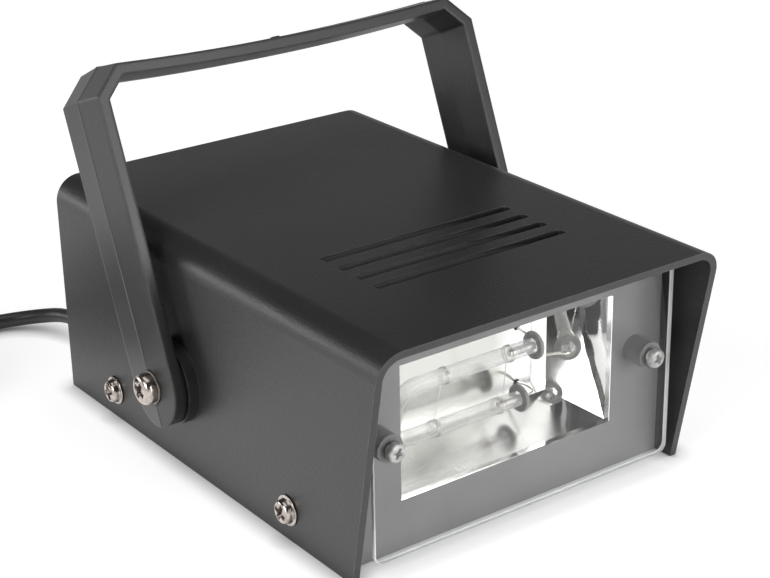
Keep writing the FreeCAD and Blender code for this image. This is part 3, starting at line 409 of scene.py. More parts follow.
@dataclass(frozen=True)
class TubeGlass(Finish):
    """Thin glass: clear in the middle, denser at its edges, with a faint grey deposit."""

    roughness: float = 0.045
    uneven: float = 0.025
    body: float = 0.22
    rim: float = 0.75
    slant: float = 0.35
    slant_from: Point = (0.15, 0.95)
    deposit: Point = (0.62, 0.62, 0.60)

    def dress(self, shader: Shader) -> None:
        """Make the glass denser where it is seen at a slant.

        Args:
            shader: the material's node tree.
        """
        facing = shader.node("LayerWeight", Blend=self.slant).outputs["Facing"]
        cloud = shader.noise(self.patch, 3.0)
        shader.set(
            Base_Color=shader.blend(shader.spread(cloud, 0.0, 1.0), self.colour, self.deposit),
            Roughness=self.rough(shader, cloud),
            Alpha=shader.spread(facing, self.body, self.rim, *self.slant_from),
        )
        shader.material.surface_render_method = "BLENDED"


@dataclass(frozen=True)
class BoardLacquer(Finish):
    """Green lacquer over copper tracks."""

    uneven: float = 0.08
    track: Point = (0.10, 0.33, 0.14)
    track_edge: Point = (0.05, 0.09)
    scatter: float = 0.55

    def dress(self, shader: Shader) -> None:
        """Lay paler tracks under the lacquer.

        Args:
            shader: the material's node tree.
        """
        cells = shader.node("TexVoronoi", settings={"feature": "DISTANCE_TO_EDGE"}, Vector=shader.place,
                            Scale=1.0 / (self.patch * MM), Randomness=self.scatter).outputs["Distance"]
        lines = shader.spread(cells, 1.0, 0.0, *self.track_edge)
        shader.set(
            Base_Color=shader.blend(lines, self.colour, self.track),
            Roughness=self.rough(shader, shader.noise(self.grain)),
            Normal=shader.bump(lines, self.depth),
        )


# Where a finish gives bare values, they are its colour, roughness, metallic, grain, depth, mottle,
# patch and stretch, in that order.
# The cover's corners are lightened as wear and painted highlight, and a patch round its vents is painted
# light.
BLACK_CASE = MouldedPlastic("black_case_plastic", (0.015, 0.015, 0.0152), 0.40, grain=0.36,
                            depth=0.045, wear_and_highlight=0.45, painted_light_at=(-14, -40.2, 66.9),
                            painted_light_reach=(38, 30, 1.5))
# Painted reflection: the chassis's black plastic is coloured grey, standing in for the sheen over its front
# wall behind the clear sheet.
CHASSIS_PAINTED_REFLECTION = MouldedPlastic("chassis_plastic_painted_reflection", (0.18, 0.18, 0.18), 0.40, grain=0.4,
                              depth=0.003, speck=(0.15, 0.15, 0.15), rub=0.2)
# The bracket's corners are lightened as wear and painted highlight.
BRACKET_PLASTIC = MouldedPlastic("bracket_plastic", (0.017, 0.017, 0.0172), 0.38, grain=0.35,
                                 depth=0.02, rub=0.45, wear_and_highlight=0.6, stretch=(1, 1, 0.12), soft=1.2)
# Painted highlight: the parting-line ridge is coloured far paler than the bracket's plastic.
PARTING_LINE_HIGHLIGHT = MouldedPlastic("parting_line_painted_highlight", (0.13, 0.13, 0.13), 0.34, grain=0.3,
                              depth=0.01)
KNOB_PLASTIC = MouldedPlastic("knob_plastic", (0.022, 0.022, 0.022), 0.45, grain=0.4, depth=0.02)
SCREW_PLATE = Finish("screw_plate", (0.44, 0.39, 0.36), 0.20, 1.0, 0.6, 0.012, 0.3, 1.8)
# Painted shade: the cross recesses are coloured darker than the heads.
SCREW_RECESS_SHADE = Finish("screw_recess_painted_shade", (0.17, 0.145, 0.13), 0.42, 1.0, 0.3, 0.02, 0.4, 0.8)
DULL_PLATE = Finish("dull_screw_plate", (0.42, 0.42, 0.41), 0.50, 0.6, 0.5, 0.02, 0.35, 1.5)
WASHER_PLATE = Finish("washer_plate", (0.30, 0.27, 0.25), 0.38, 1.0, 0.3, 0.01, 0.2, 3)
BRIGHT_STEEL = Finish("bright_steel", (0.62, 0.62, 0.61), 0.3, 1.0, 0.4, 0.01, 0.15, 4)
TURNED_ALUMINIUM = Finish("turned_aluminium", (0.76, 0.76, 0.77), 0.3, 1.0, 0.25, 0.01, 0.08,
                          6, (1, 8, 1))
MIRROR_FOIL = PolishedFoil("mirror_foil", (0.96, 0.96, 0.95), 0.20, grain=0.5, depth=0.0015,
                           mottle=0.08, patch=14, stretch=(0.1, 1, 1))
FOLD = Finish("mirror_fold_foil", (0.96, 0.96, 0.95), 0.12, 1.0, 0.5, 0.004, 0.08, 6)
CLEAR_SHEET = ClearPlastic("clear_sheet", (0.99, 0.99, 0.99), 0.03, patch=20, grain=3,
                           stretch=(1, 1, 0.3))
SHEET_EDGE = Finish("sheet_edge", (0.80, 0.82, 0.82), 0.35, 0.0, 0.4, 0.01, 0.1, 8)
GLASS = TubeGlass("tube_glass", (0.95, 0.95, 0.94), patch=12, body=0.28, rim=0.58)
FUSE_GLASS = TubeGlass("fuse_glass", (0.80, 0.84, 0.84), patch=5)
ELECTRODE = Finish("electrode_metal", (0.62, 0.61, 0.60), 0.4, 1.0, 0.2, 0.02, 0.3, 2)
COLLAR_RUBBER = Finish("collar_rubber", (0.25, 0.25, 0.24), 0.6, 0.0, 0.3, 0.02, 0.2, 2)
BARE_WIRE = Finish("bare_wire", (0.72, 0.70, 0.66), 0.25, 1.0, 0.3, 0.01, 0.15, 3)
LEAD_SHEATH = Finish("lead_sheath", (0.022, 0.022, 0.023), 0.42, 0.0, 0.5, 0.015, 0.2, 8)
RELIEF_RUBBER = Finish("relief_rubber", (0.020, 0.020, 0.020), 0.62, 0.0, 0.35, 0.03, 0.2, 5)
PLUG_RUBBER = Finish("plug_rubber", (0.023, 0.023, 0.024), 0.5, 0.0, 0.5, 0.03, 0.2, 9)
TIE_PLASTIC = Finish("tie_plastic", (0.035, 0.035, 0.035), 0.55, 0.0, 0.3, 0.02, 0.2, 4)
PIN_PLATE = Finish("pin_plate", (0.74, 0.72, 0.66), 0.22, 1.0, 0.4, 0.006, 0.1, 5)
BOARD = BoardLacquer("board_lacquer", (0.035, 0.17, 0.06), 0.35, grain=1, depth=0.03, patch=7)
CAN_SLEEVE = Finish("can_sleeve", (0.020, 0.025, 0.075), 0.30, 0.0, 0.6, 0.01, 0.2, 6)
CEMENT = Finish("resistor_cement", (0.80, 0.79, 0.74), 0.75, 0.0, 0.3, 0.05, 0.1, 3)
WINDING = Finish("winding_tape", (0.50, 0.38, 0.10), 0.4, 0.0, 0.3, 0.03, 0.2, 3, (1, 1, 6))
FILM_RED = Finish("film_red", (0.40, 0.07, 0.03), 0.3, 0.0, 0.8, 0.02, 0.2, 3)
CHIP_BLACK = Finish("chip_black", (0.03, 0.03, 0.03), 0.6, 0.0, 0.2, 0.02, 0.2, 2)
CLIP_BRASS = Finish("clip_brass", (0.72, 0.60, 0.34), 0.3, 1.0, 0.3, 0.01, 0.15, 2)


# ---------- mesh making
def circle(middle: Vector, side: Vector, other: Vector, radius: float, steps: int) -> list[Vector]:
    """Points round a circle, from its middle and two directions in its plane."""
    turn = [2 * math.pi * k / steps for k in range(steps)]
    return [middle + (side * math.cos(a) + other * math.sin(a)) * radius for a in turn]


class Maker:
    """Gathers faces in one bmesh and hands them over as a dressed object."""

    def __init__(self) -> None:
        """Start with nothing."""
        self.mesh = bmesh.new()

    def grid(self, rows: Sequence[Sequence[Point]], closed: bool = False, slot: int = 0) -> None:
        """Add a quilt of faces between rings of points.

        Args:
            rows: the rings, each with as many points.
            closed: whether the last ring joins the first. If not, both are capped unless they are points.
            slot: the faces' material slot.
        """
        made = [self.ring(row) for row in rows]
        for here, there in zip(made, made[1:] + made[:closed]):
            self.band(here, there, slot)
        for ring in () if closed else (made[0][::-1], made[-1]):
            if (ring[0].co - ring[len(ring) // 2].co).length > TINY:
                self.mesh.faces.new(ring).material_index = slot

    def ring(self, row: Sequence[Point]) -> list[Vert]:
        """Add a ring of points."""
        return [self.mesh.verts.new(p) for p in row]

    def band(self, here: Sequence[Vert], there: Sequence[Vert], slot: int) -> None:
        """Join two rings of points with faces.

        Args:
            here: one ring.
            there: the other ring.
            slot: the faces' material slot.
        """
        for j in range(len(here)):
            k = (j + 1) % len(here)
            self.mesh.faces.new((here[j], here[k], there[k], there[j])).material_index = slot

    def lathe(self, profile: Profile, base: Vector, way: Way, steps: int) -> None:
        """Turn a profile round an axis.

        Args:
            profile: (distance along the axis, radius) pairs.
            base: where the axis starts.
            way: the axis's direction.
            steps: how many facets round.
        """
        along = Vector(way.value)
        side = along.orthogonal().normalized()
        other = along.cross(side)
        self.grid([circle(base + along * reach, side, other, radius, steps) for reach, radius in profile])

    def sweep(self, path: Sequence[Vector], radius: float, steps: int) -> None:
        """Sweep a round section along a path, without twist.

        Args:
            path: the path's points.
            radius: the section's radius.
            steps: how many facets round.
        """
        rows = []
        side: Optional[Vector] = None
        for i, point in enumerate(path):
            ahead = (path[min(i + 1, len(path) - 1)] - path[max(i - 1, 0)]).normalized()
            side = ahead.orthogonal() if side is None else side - ahead * side.dot(ahead)
            side.normalize()
            rows.append(circle(point, side, ahead.cross(side), radius, steps))
        self.grid(rows)

    def finish(self, name: str, finishes: Sequence[Finish], sharp: float = 35.0) -> Piece:
        """Hand over what was gathered as one object.

        Args:
            name: the piece's name.
            finishes: the finish of each material slot.
            sharp: the angle in degrees above which an edge shows.

        Returns:
            The new object.
        """
        bmesh.ops.remove_doubles(self.mesh, verts=self.mesh.verts, dist=TINY)
        bmesh.ops.recalc_face_normals(self.mesh, faces=self.mesh.faces)
        for face in self.mesh.faces:
            face.smooth = True
        for edge in self.mesh.edges:
            edge.smooth = edge.calc_face_angle(0.0) < math.radians(sharp)
        return self.hand_over(name, [made.build() for made in finishes])

    def hand_over(self, name: str, materials: Sequence[bpy.types.Material]) -> Piece:
        """Turn what was gathered into an object as it is.

        Args:
            name: the piece's name.
            materials: the material of each slot.

        Returns:
            The new object.
        """
        data = bpy.data.meshes.new(name)
        self.mesh.to_mesh(data)
        self.mesh.free()
        for material in materials:
            data.materials.append(material)
        return stand(name, data)


def cable(name: str, points: Sequence[Vector], radius: float, finish: Finish, steps: int = 6,
          facets: int = 3) -> Piece:
    """Make a round wire or lead along one smooth line.

    Args:
        name: the piece's name.
        points: the line's control points.
        radius: the section's radius.
        finish: its finish.
        steps: how many steps the line takes from point to point.
        facets: how finely the section is rounded.

    Returns:
        The new object.
    """
    data = put(bpy.data.curves.new(name, "CURVE"), dimensions="3D", bevel_depth=radius,
               bevel_resolution=facets, resolution_u=steps, use_fill_caps=True)
    line = data.splines.new("NURBS")
    line.points.add(len(points) - 1)
    for spot, point in zip(line.points, points):
        spot.co = (*point, 1.0)
    put(line, order_u=3, use_endpoint_u=True)
    data.materials.append(finish.build())
    return stand(name, data)


def settle(piece: Piece, slot: str, *nodes: str, body: Body = Body.HOUSING) -> None:
    """Put a piece on its body and let it stand for CAD nodes.

    Args:
        piece: the piece.
        slot: the record's material slot; not used.
        *nodes: the CAD nodes that it replaces.
        body: the body that it rides on.
    """
    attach(piece, body.value)
    if nodes:
        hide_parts(*nodes)
    LOG.info("%s rides on %s", piece.name, body.value)


def dress(node: str, finish: Finish, edge: float = 0.0, sharp: float = 28.0) -> Piece:
    """Give a CAD node its finish and, with modifiers, its softened edges.

    Args:
        node: the node's name.
        finish: its finish.
        edge: the width of its edges' rounding in metres, or 0 for none.
        sharp: the angle in degrees above which an edge is rounded.

    Returns:
        The node's object.
    """
    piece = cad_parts[node]
    if not piece.material_slots:
        piece.data.materials.append(None)
    for place in piece.material_slots:
        place.link = "OBJECT"
        place.material = finish.build()
    if edge > 0:
        put(piece.modifiers.new("weld", "WELD"), merge_threshold=1e-6)
        put(piece.modifiers.new("flat_faces", "DECIMATE"), decimate_type="DISSOLVE",
            angle_limit=math.radians(0.5))
        put(piece.modifiers.new("soft_edges", "BEVEL"), width=edge, segments=2, limit_method="ANGLE",
            angle_limit=math.radians(sharp), use_clamp_overlap=True)
        put(piece.modifiers.new("even_shading", "WEIGHTED_NORMAL"), keep_sharp=True, weight=80)
    LOG.info("%s is dressed in %s", node, finish.name)
    return piece


# ---------- sub-assemblies
Parts = Sequence[tuple[str, Finish, float]]  # node, finish, width of its edges' rounding


@dataclass
class Dressed:
    """Pieces that keep their CAD shapes."""

    parts: Parts = ()

    def build(self) -> None:
        """Dress each piece."""
        for node, finish, edge in self.parts:
            dress(node, finish, edge)


@dataclass
class Housing(Dressed):
    """The cover and the chassis."""

    parts: Parts = (
        ("top_cover", BLACK_CASE, 0.5 * MM), ("chassis", CHASSIS_PAINTED_REFLECTION, 0.3 * MM))


@dataclass
class Bracket:
    """The bracket that the lamp hangs by.

    The line where its mould parts keeps clear of the pivot. Below it, it runs through three points.
    """

    edge: float = 0.45 * MM
    sharp: float = 6.0
    pivot: Point = (0.0, 9.5 * MM, 26.7 * MM)
    lean: float = 22.0
    out: float = 65.9 * MM
    reach: float = 90.2 * MM
    corner: float = 8.4 * MM
    sag: float = 1.8 * MM
    ridge: float = 0.17 * MM
    ridge_facets: int = 8
    below: Sequence[float] = (6.5 * MM, 9.0 * MM, 11.6 * MM)
    steps: int = 12

    def place(self, x: float, z: float) -> Vector:
        """A point of the parting plane, across from the middle and along the arms, in the frame."""
        return Matrix.Rotation(math.radians(-self.lean), 3, "X") @ Vector((x, 0, z)) + Vector(self.pivot)

    def build(self) -> None:
        """Dress the moulding and raise the thin line where its mould parts, coloured pale as painted
        highlight.
        """
        dress("bracket", BRACKET_PLASTIC, self.edge, self.sharp)
        over = self.out - self.corner
        top = [(over * k / self.steps, self.reach - self.sag * (1 - (k / self.steps) ** 2))
               for k in range(-self.steps, self.steps + 1)]
        shoulder = self.reach - self.corner
        start = self.below[0]
        line = [(-self.out, start), (-self.out, shoulder), *top, (self.out, shoulder), (self.out, start)]
        maker = Maker()
        maker.sweep([self.place(x, z) for x, z in line], self.ridge, self.ridge_facets)
        for side in (-1, 1):
            ends = [self.place(self.out * side, -z) for z in self.below]
            maker.sweep(ends, self.ridge, self.ridge_facets)
        settle(maker.finish("bracket_parting_line", [PARTING_LINE_HIGHLIGHT]), "bracket", body=Body.BRACKET)


@dataclass(frozen=True)
class PanScrew:
    """A pan-head screw with a cross recess.

    The recess is given at three heights of the head: the height as a share of the head's, the arms'
    reach as a share of its width, and how wide the arms are there as a share of their full width.
    Pitch and arm width are shares of the thread's and the head's width, and the thread's root and
    tip shares of its radius.
    """

    head_width: float
    head_height: float
    thread: float
    length: float
    flange: float = 0.0
    pitch: float = 0.18
    root: float = 0.84
    tip: float = 0.4
    arm: float = 0.078
    levels: Sequence[Point] = ((0.32, 0.10, 0.5), (0.62, 0.19, 0.8), (1.02, 0.285, 1.0))
    facets: tuple[int, int] = (56, 24)
    soft: float = 0.012
    sharp: float = 50.0

    def head_profile(self) -> Profile:
        """Draw the head's outline, from its seat to its crown.

        Returns:
            (distance from the seat, radius) pairs.
        """
        r = self.head_width / 2
        h = self.head_height
        brim = self.flange
        foot = [(0, r * 0.5), (0, r * 0.96), (h * 0.05, r)]
        if brim > 0:
            foot = [(0, r * 0.5), (0, r * 0.86), (brim * 0.45, r * 0.99), (brim * 0.75, r), (brim, r * 0.985),
                    (brim * 1.1, r * 0.93), (brim * 1.2, r * 0.82)]
            r *= 0.78
        start = brim * 1.2 / h
        rise = [(0.36, 1.0), (0.62, 0.975), (0.80, 0.91), (0.92, 0.80), (0.985, 0.62), (1.0, 0.0)]
        return foot + [(h * (start + (1 - start) * up), r * wide) for up, wide in rise]

    def shank_profile(self) -> Profile:
        """Draw the shank's outline, with its thread as rings.

        Returns:
            (distance from the seat, radius) pairs.
        """
        r = self.thread / 2
        pitch = self.thread * self.pitch
        turns = max(2, int(self.length * 0.75 / pitch))
        stop = self.length - r * self.tip
        rows = [(0.0, r), (self.length * 0.22, r)]
        for start in (stop - turns * pitch + pitch * turn for turn in range(turns)):
            rows += [(start, r * self.root), (start + pitch * 0.5, r)]
        return rows + [(stop, r * self.root), (self.length, r * 0.5), (self.length, 0.0)]

    def recess(self, seat: Vector, way: Way, turn: float) -> Piece:
        """Make the tool that cuts the cross.

        Args:
            seat: where the head seats.
            way: where the head faces.
            turn: the cross's turn in radians.

        Returns:
            An object in the recess's shape.
        """
        along = Vector(way.value)
        first = Matrix.Rotation(turn, 3, along) @ along.orthogonal().normalized()
        rows = []
        for level, reach, narrow in self.levels:
            middle = seat + along * self.head_height * level
            span = self.head_width * reach
            half = self.head_width * self.arm * narrow
            ring = []
            for quarter in range(4):
                out = Matrix.Rotation(quarter * math.pi / 2, 3, along) @ first
                across = along.cross(out)
                ring += [middle + out * span - across * half, middle + out * span + across * half,
                         middle + (out + across) * half * 1.2]
            rows.append(ring)
        maker = Maker()
        maker.grid(rows, slot=1)
        return maker.finish("recess_tool", [])

    def add(self, maker: Maker, seat: Vector, way: Way, turn: float) -> None:
        """Add the screw to a gathering of screws.

        Args:
            maker: where its faces go.
            seat: where the head seats.
            way: where the head faces.
            turn: the cross's turn in radians.
        """
        head = Maker()
        head.lathe(self.head_profile(), seat, way, self.facets[0])
        piece = head.finish("screw_head", [])
        tool = self.recess(seat, way, turn)
        put(piece.modifiers.new("cross", "BOOLEAN"), operation="DIFFERENCE", solver="EXACT", object=tool)
        put(piece.modifiers.new("soft", "BEVEL"), width=self.head_width * self.soft, segments=2,
            limit_method="ANGLE", angle_limit=math.radians(self.sharp))
        bpy.context.view_layer.update()
        done = piece.evaluated_get(bpy.context.evaluated_depsgraph_get())
        maker.mesh.from_mesh(done.to_mesh())
        done.to_mesh_clear()
        for scrap in (piece, tool):
            data = scrap.data
            bpy.data.objects.remove(scrap)
            bpy.data.meshes.remove(data)
        inward = {Way.LEFT: Way.RIGHT, Way.RIGHT: Way.LEFT, Way.FRONT: Way.BACK}[way]
        maker.lathe(self.shank_profile(), seat, inward, self.facets[1])


@dataclass
class Fasteners:
    """The screws, washers and nuts."""

    cover: PanScrew = PanScrew(8.8 * MM, 2.8 * MM, 4.0 * MM, 11.3 * MM, 0.5 * MM)
    pivot: PanScrew = PanScrew(9.2 * MM, 3.6 * MM, 5.0 * MM, 15.5 * MM)
    lens: PanScrew = PanScrew(5.6 * MM, 2.0 * MM, 3.0 * MM, 7.0 * MM)
    turns: Sequence[float] = (0.35, 1.1, 0.7, 0.2)

    def build(self) -> None:
        """Make the screws and dress the washers and nuts."""
        self.sides("cover_screws", self.cover)
        self.sides("pivot_screws", self.pivot)
        self.window()
        dress("pivot_washers", WASHER_PLATE, 0.12 * MM)
        dress("pivot_nuts", BRIGHT_STEEL, 0.2 * MM)

    def sides(self, node: str, screw: PanScrew) -> None:
        """Make screws whose heads face out of both sides.

        Args:
            node: the CAD node with their places.
            screw: their form.
        """
        low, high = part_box(node)
        half = screw.head_width / 2
        depths = [low[1] + half]
        if high[1] - low[1] > screw.head_width * 1.5:
            depths.append(high[1] - half)
        maker = Maker()
        height = (low[2] + high[2]) / 2
        seat = high[0] - screw.head_height
        for number, depth in enumerate(depths):
            screw.add(maker, Vector((-seat, depth, height)), Way.LEFT, self.turns[number])
            screw.add(maker, Vector((seat, depth, height)), Way.RIGHT, self.turns[number + 2])
        settle(maker.finish(f"{node}_crossed", [SCREW_PLATE, SCREW_RECESS_SHADE]), node, node)

    def window(self) -> None:
        """Make the two small screws through the clear sheet."""
        low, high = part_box("lens_screws")
        maker = Maker()
        half = self.lens.head_width / 2
        seat = low[1] + self.lens.head_height
        for number, x in enumerate((low[0] + half, high[0] - half)):
            self.lens.add(maker, Vector((x, seat, (low[2] + high[2]) / 2)), Way.FRONT, self.turns[number])
        screws = maker.finish("lens_screws_crossed", [DULL_PLATE, DULL_PLATE])
        settle(screws, "lens_screws", "lens_screws")


@dataclass
class Window:
    """The clear sheet with its polished edges, and the mirror behind it."""

    corner: float = 3.0 * MM
    edge: float = 0.25 * MM
    hole: float = 1.6 * MM
    corner_steps: int = 8
    hole_steps: int = 24
    fold_out: float = 36.68 * MM
    fold_front: float = -68.45 * MM
    fold_back: float = -66.6 * MM
    fold_sill: float = 14.62 * MM
    fold_top: float = 53.2 * MM
    fold_thick: float = 0.18 * MM
    fold_slant: float = 0.1 * MM

    def outline(self, low: Point, high: Point, inset: float) -> list[tuple[float, float]]:
        """The sheet's outline in X and Z.

        Args:
            low: the sheet's lowest corner.
            high: the sheet's highest corner.
            inset: how far the outline is pulled in.

        Returns:
            Its points, in order.
        """
        points = []
        radius = self.corner - inset
        for quarter, (sx, sz) in enumerate(((1, 1), (-1, 1), (-1, -1), (1, -1))):
            cx = (high[0] if sx > 0 else low[0]) - sx * self.corner
            cz = (high[2] if sz > 0 else low[2]) - sz * self.corner
            for step in range(self.corner_steps + 1):
                angle = (quarter + step / self.corner_steps) * math.pi / 2
                points.append((cx + radius * math.cos(angle), cz + radius * math.sin(angle)))
        return points

    def build(self) -> None:
        """Make the sheet and dress the mirror."""
        self.sheet()
        dress("mirror", MIRROR_FOIL)
        self.fold()

    def sheet(self) -> None:
        """Make the clear sheet: its rim, the bores of its two screws, and its faces round them."""
        low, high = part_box("lens_sheet")
        front, back = low[1], high[1]
        depths = ((front, self.edge), (front + self.edge, 0.0), (back - self.edge, 0.0), (back, self.edge))
        maker = Maker()
        rims = [maker.ring([(x, y, z) for x, z in self.outline(low, high, inset)]) for y, inset in depths]
        for near, far in zip(rims, rims[1:]):
            maker.band(near, far, 1)
        bores = [[maker.ring(self.hole_ring(x, y, z)) for y in (front, back)] for x, z in self.holes()]
        for near, far in bores:
            maker.band(far, near, 1)
        for side, rim in enumerate((rims[0], rims[-1])):
            loops = [rim, *(bore[side] for bore in bores)]
            edges = [maker.mesh.edges.get((loop[k], loop[(k + 1) % len(loop)]))
                     for loop in loops for k in range(len(loop))]
            bmesh.ops.triangle_fill(maker.mesh, use_beauty=True, edges=edges)
        settle(maker.finish("clear_sheet", [CLEAR_SHEET, SHEET_EDGE], sharp=40), "lens_sheet", "lens_sheet")

    def fold(self) -> None:
        """Make the mirror's narrow folds, which line the window's right edge and its sill."""
        maker = Maker()
        out, sill = self.fold_out, self.fold_sill
        inner, over = out - self.fold_thick, sill + self.fold_thick
        front, back, near = self.fold_front, self.fold_back, self.fold_front + self.fold_slant
        maker.grid([[(out, front, z), (out, back, z), (inner, back, z), (inner, near, z)]
                    for z in (over, self.fold_top)])
        maker.grid([[(x, front, sill), (x, back, sill), (x, back, over), (x, near, over)]
                    for x in (-out, out)])
        settle(maker.finish("mirror_fold", [FOLD], sharp=40), "mirror")

    def hole_ring(self, x: float, y: float, z: float) -> list[Vector]:
        """The rim of a screw hole, round its centre."""
        return circle(Vector((x, y, z)), Vector((1, 0, 0)), Vector((0, 0, 1)), self.hole, self.hole_steps)

    def holes(self) -> list[tuple[float, float]]:
        """Find the screw holes from the lens screws' box.

        Returns:
            Their centres, as (across, height) pairs.
        """
        low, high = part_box("lens_screws")
        half = (high[2] - low[2]) / 2
        height = (low[2] + high[2]) / 2
        return [(low[0] + half, height), (high[0] - half, height)]


@dataclass
class FlashUnit:
    """The U-shaped tube, its electrodes, collars, wires and trigger turns.

    An electrode is given as its rods: where each starts and stops, inward from the tube's end, and
    its radius.
    """

    radius: float = 2.2 * MM
    facets: int = 28
    steps: int = 8
    spacing: float = 17.8 * MM
    leg_end: float = 13.6 * MM
    bend_start: float = -27.0 * MM
    bend_radius: float = 6.0 * MM
    centre: Point = (0.0, -60.6 * MM, 34.4 * MM)
    tilt: float = 14.0
    electrode: Sequence[Point] = ((0.6 * MM, 8.5 * MM, 1.15 * MM), (8.5 * MM, 9.5 * MM, 0.9 * MM),
                                  (0.0, 0.6 * MM, 0.5 * MM))
    electrode_facets: int = 20
    collar_radius: float = 4.0 * MM
    collar_length: float = 1.2 * MM
    collar_stagger: float = 1.3 * MM
    collar_fit: float = 0.02 * MM
    collar_soft: float = 0.35 * MM
    collar_facets: int = 40
    lead_radius: float = 0.42 * MM
    lead_bows: Sequence[float] = (-2.2 * MM, 1.8 * MM)
    lead_starts: Sequence[float] = (1.8 * MM, 3.6 * MM)
    lead_sink: float = 0.5 * MM
    lead_out: float = 3.8 * MM
    lead_tail: float = 8.4 * MM
    mirror_back: float = -50.4 * MM
    trigger_radius: float = 0.11 * MM
    trigger_gap: float = 0.25 * MM
    trigger_width: float = 1.6 * MM
    trigger_turns: int = 3
    trigger_steps: int = 12
    trigger_columns: Sequence[float] = (-18.0 * MM, 4.0 * MM)

    def place(self, x: float, y: float, z: float) -> Vector:
        """A point of the tube's own plane, in the frame: along the legs, out of the plane, across."""
        turned = Matrix.Rotation(math.radians(self.tilt), 3, "X") @ Vector((x, y, z))
        return turned + Vector(self.centre)

    def path(self) -> list[Vector]:
        """Lay the tube's centreline.

        Returns:
            Its points, from the upper end round to the lower end.
        """
        half = self.spacing / 2
        leg = self.leg_end - self.bend_start
        shares = [k / self.steps for k in range(1, self.steps + 1)]
        points = [self.place(self.leg_end, 0, half)]
        points += [self.place(self.bend_start + leg * (1 - share), 0, half) for share in shares]
        for start, centre in ((90, half - self.bend_radius), (180, self.bend_radius - half)):
            for share in shares:
                angle = math.radians(start + 90 * share)
                points.append(self.place(self.bend_start + self.bend_radius * math.cos(angle), 0,
                                         centre + self.bend_radius * math.sin(angle)))
        points += [self.place(self.bend_start + leg * share, 0, -half) for share in shares]
        return points

    def build(self) -> None:
        """Make the glass and everything on it."""
        glass = Maker()
        glass.sweep(self.path(), self.radius, self.facets)
        settle(glass.finish("flash_tube_glass", [GLASS], sharp=50), "flash_tube", "flash_tube")
        self.electrodes()
        self.collars()
        self.leads()
        self.trigger()

    def electrodes(self) -> None:
        """Make the metal electrode inside each end of the glass."""
        maker = Maker()
        for side in (-1, 1):
            z = self.spacing / 2 * side
            for start, stop, radius in self.electrode:
                ends = [self.place(self.leg_end - reach, 0, z) for reach in (start, stop)]
                maker.sweep(ends, radius, self.electrode_facets)
        settle(maker.finish("tube_electrodes", [ELECTRODE], sharp=40), "flash_tube")

    def collars(self) -> None:
        """Make the ring on each end of the glass."""
        maker = Maker()
        r, inner, long = self.collar_radius, self.radius + self.collar_fit, self.collar_length
        soft = self.collar_soft
        section = [(0.0, inner), (0.0, r - soft), (soft * 0.3, r - soft * 0.3), (soft, r),
                   (long - soft, r), (long - soft * 0.3, r - soft * 0.3), (long, r - soft), (long, inner)]
        across, up = (self.place(*way) - self.place(0, 0, 0) for way in ((0, 1, 0), (0, 0, 1)))
        for side, pushed in ((-1, self.collar_stagger), (1, 0.0)):
            maker.grid([circle(self.place(self.leg_end - step - pushed, 0, self.spacing / 2 * side),
                               across, up, radius, self.collar_facets) for step, radius in section], True)
        settle(maker.finish("tube_collars_round", [COLLAR_RUBBER]), "tube_collars", "tube_collars")

    def leads(self) -> None:
        """Make the bare wire from each electrode, which bows and goes back through the mirror."""
        for label, side, bow in zip(("upper", "lower"), (1, -1), self.lead_bows):
            start = self.place(self.leg_end, 0, self.spacing / 2 * side)
            hole = Vector((self.leg_end + self.lead_out, self.mirror_back, start.z))
            near, far = self.lead_starts
            points = [start, start + Vector((near, 0, 0)),
                      start + Vector((far, self.lead_sink, bow * 0.4)),
                      Vector((hole.x, (start.y + hole.y) / 2, start.z + bow * 0.5)),
                      hole, hole + Vector((0, self.lead_tail, 0))]
            piece = cable(f"tube_lead_{label}", points, self.lead_radius, BARE_WIRE)
            settle(piece, "tube_leads", "tube_leads")

    def trigger(self) -> None:
        """Make the fine trigger wire: turns round each leg and the run that joins them."""
        reach = self.radius + self.trigger_gap
        total = self.trigger_steps * self.trigger_turns
        points = []
        for x, sides in zip(self.trigger_columns, ((1, -1), (-1, 1))):
            for side in sides:
                for step in range(total):
                    a = math.pi / 2 * side + 2 * math.pi * step / self.trigger_steps
                    along = x + (step / total - 0.5) * self.trigger_width
                    points.append(self.place(along, reach * math.cos(a),
                                             self.spacing / 2 * side + reach * math.sin(a)))
        piece = cable("trigger_turns", points, self.trigger_radius, BARE_WIRE)
        settle(piece, "trigger_wire", "trigger_wire")


@dataclass
class SpeedControl(Dressed):
    """The knob, its spindle, and the control behind the rear wall."""

    parts: Parts = (
        ("speed_knob", KNOB_PLASTIC, 0.18 * MM), ("speed_shaft", TURNED_ALUMINIUM, 0.0),
        ("potentiometer", BRIGHT_STEEL, 0.15 * MM), ("potentiometer_nut", BRIGHT_STEEL, 0.2 * MM))


@dataclass
class Driver(Dressed):
    """The circuit board and what stands on it."""

    parts: Parts = (
        ("circuit_board", BOARD, 0.0), ("board_screws", BRIGHT_STEEL, 0.15 * MM),
        ("storage_capacitors", CAN_SLEEVE, 0.8 * MM), ("ballast_resistor", CEMENT, 0.4 * MM),
        ("trigger_coil", WINDING, 0.2 * MM), ("film_capacitors", FILM_RED, 0.8 * MM),
        ("thyristor", CHIP_BLACK, 0.2 * MM), ("rectifier_diodes", CHIP_BLACK, 0.0),
        ("fuse", FUSE_GLASS, 0.0), ("fuse_clips", CLIP_BRASS, 0.15 * MM))


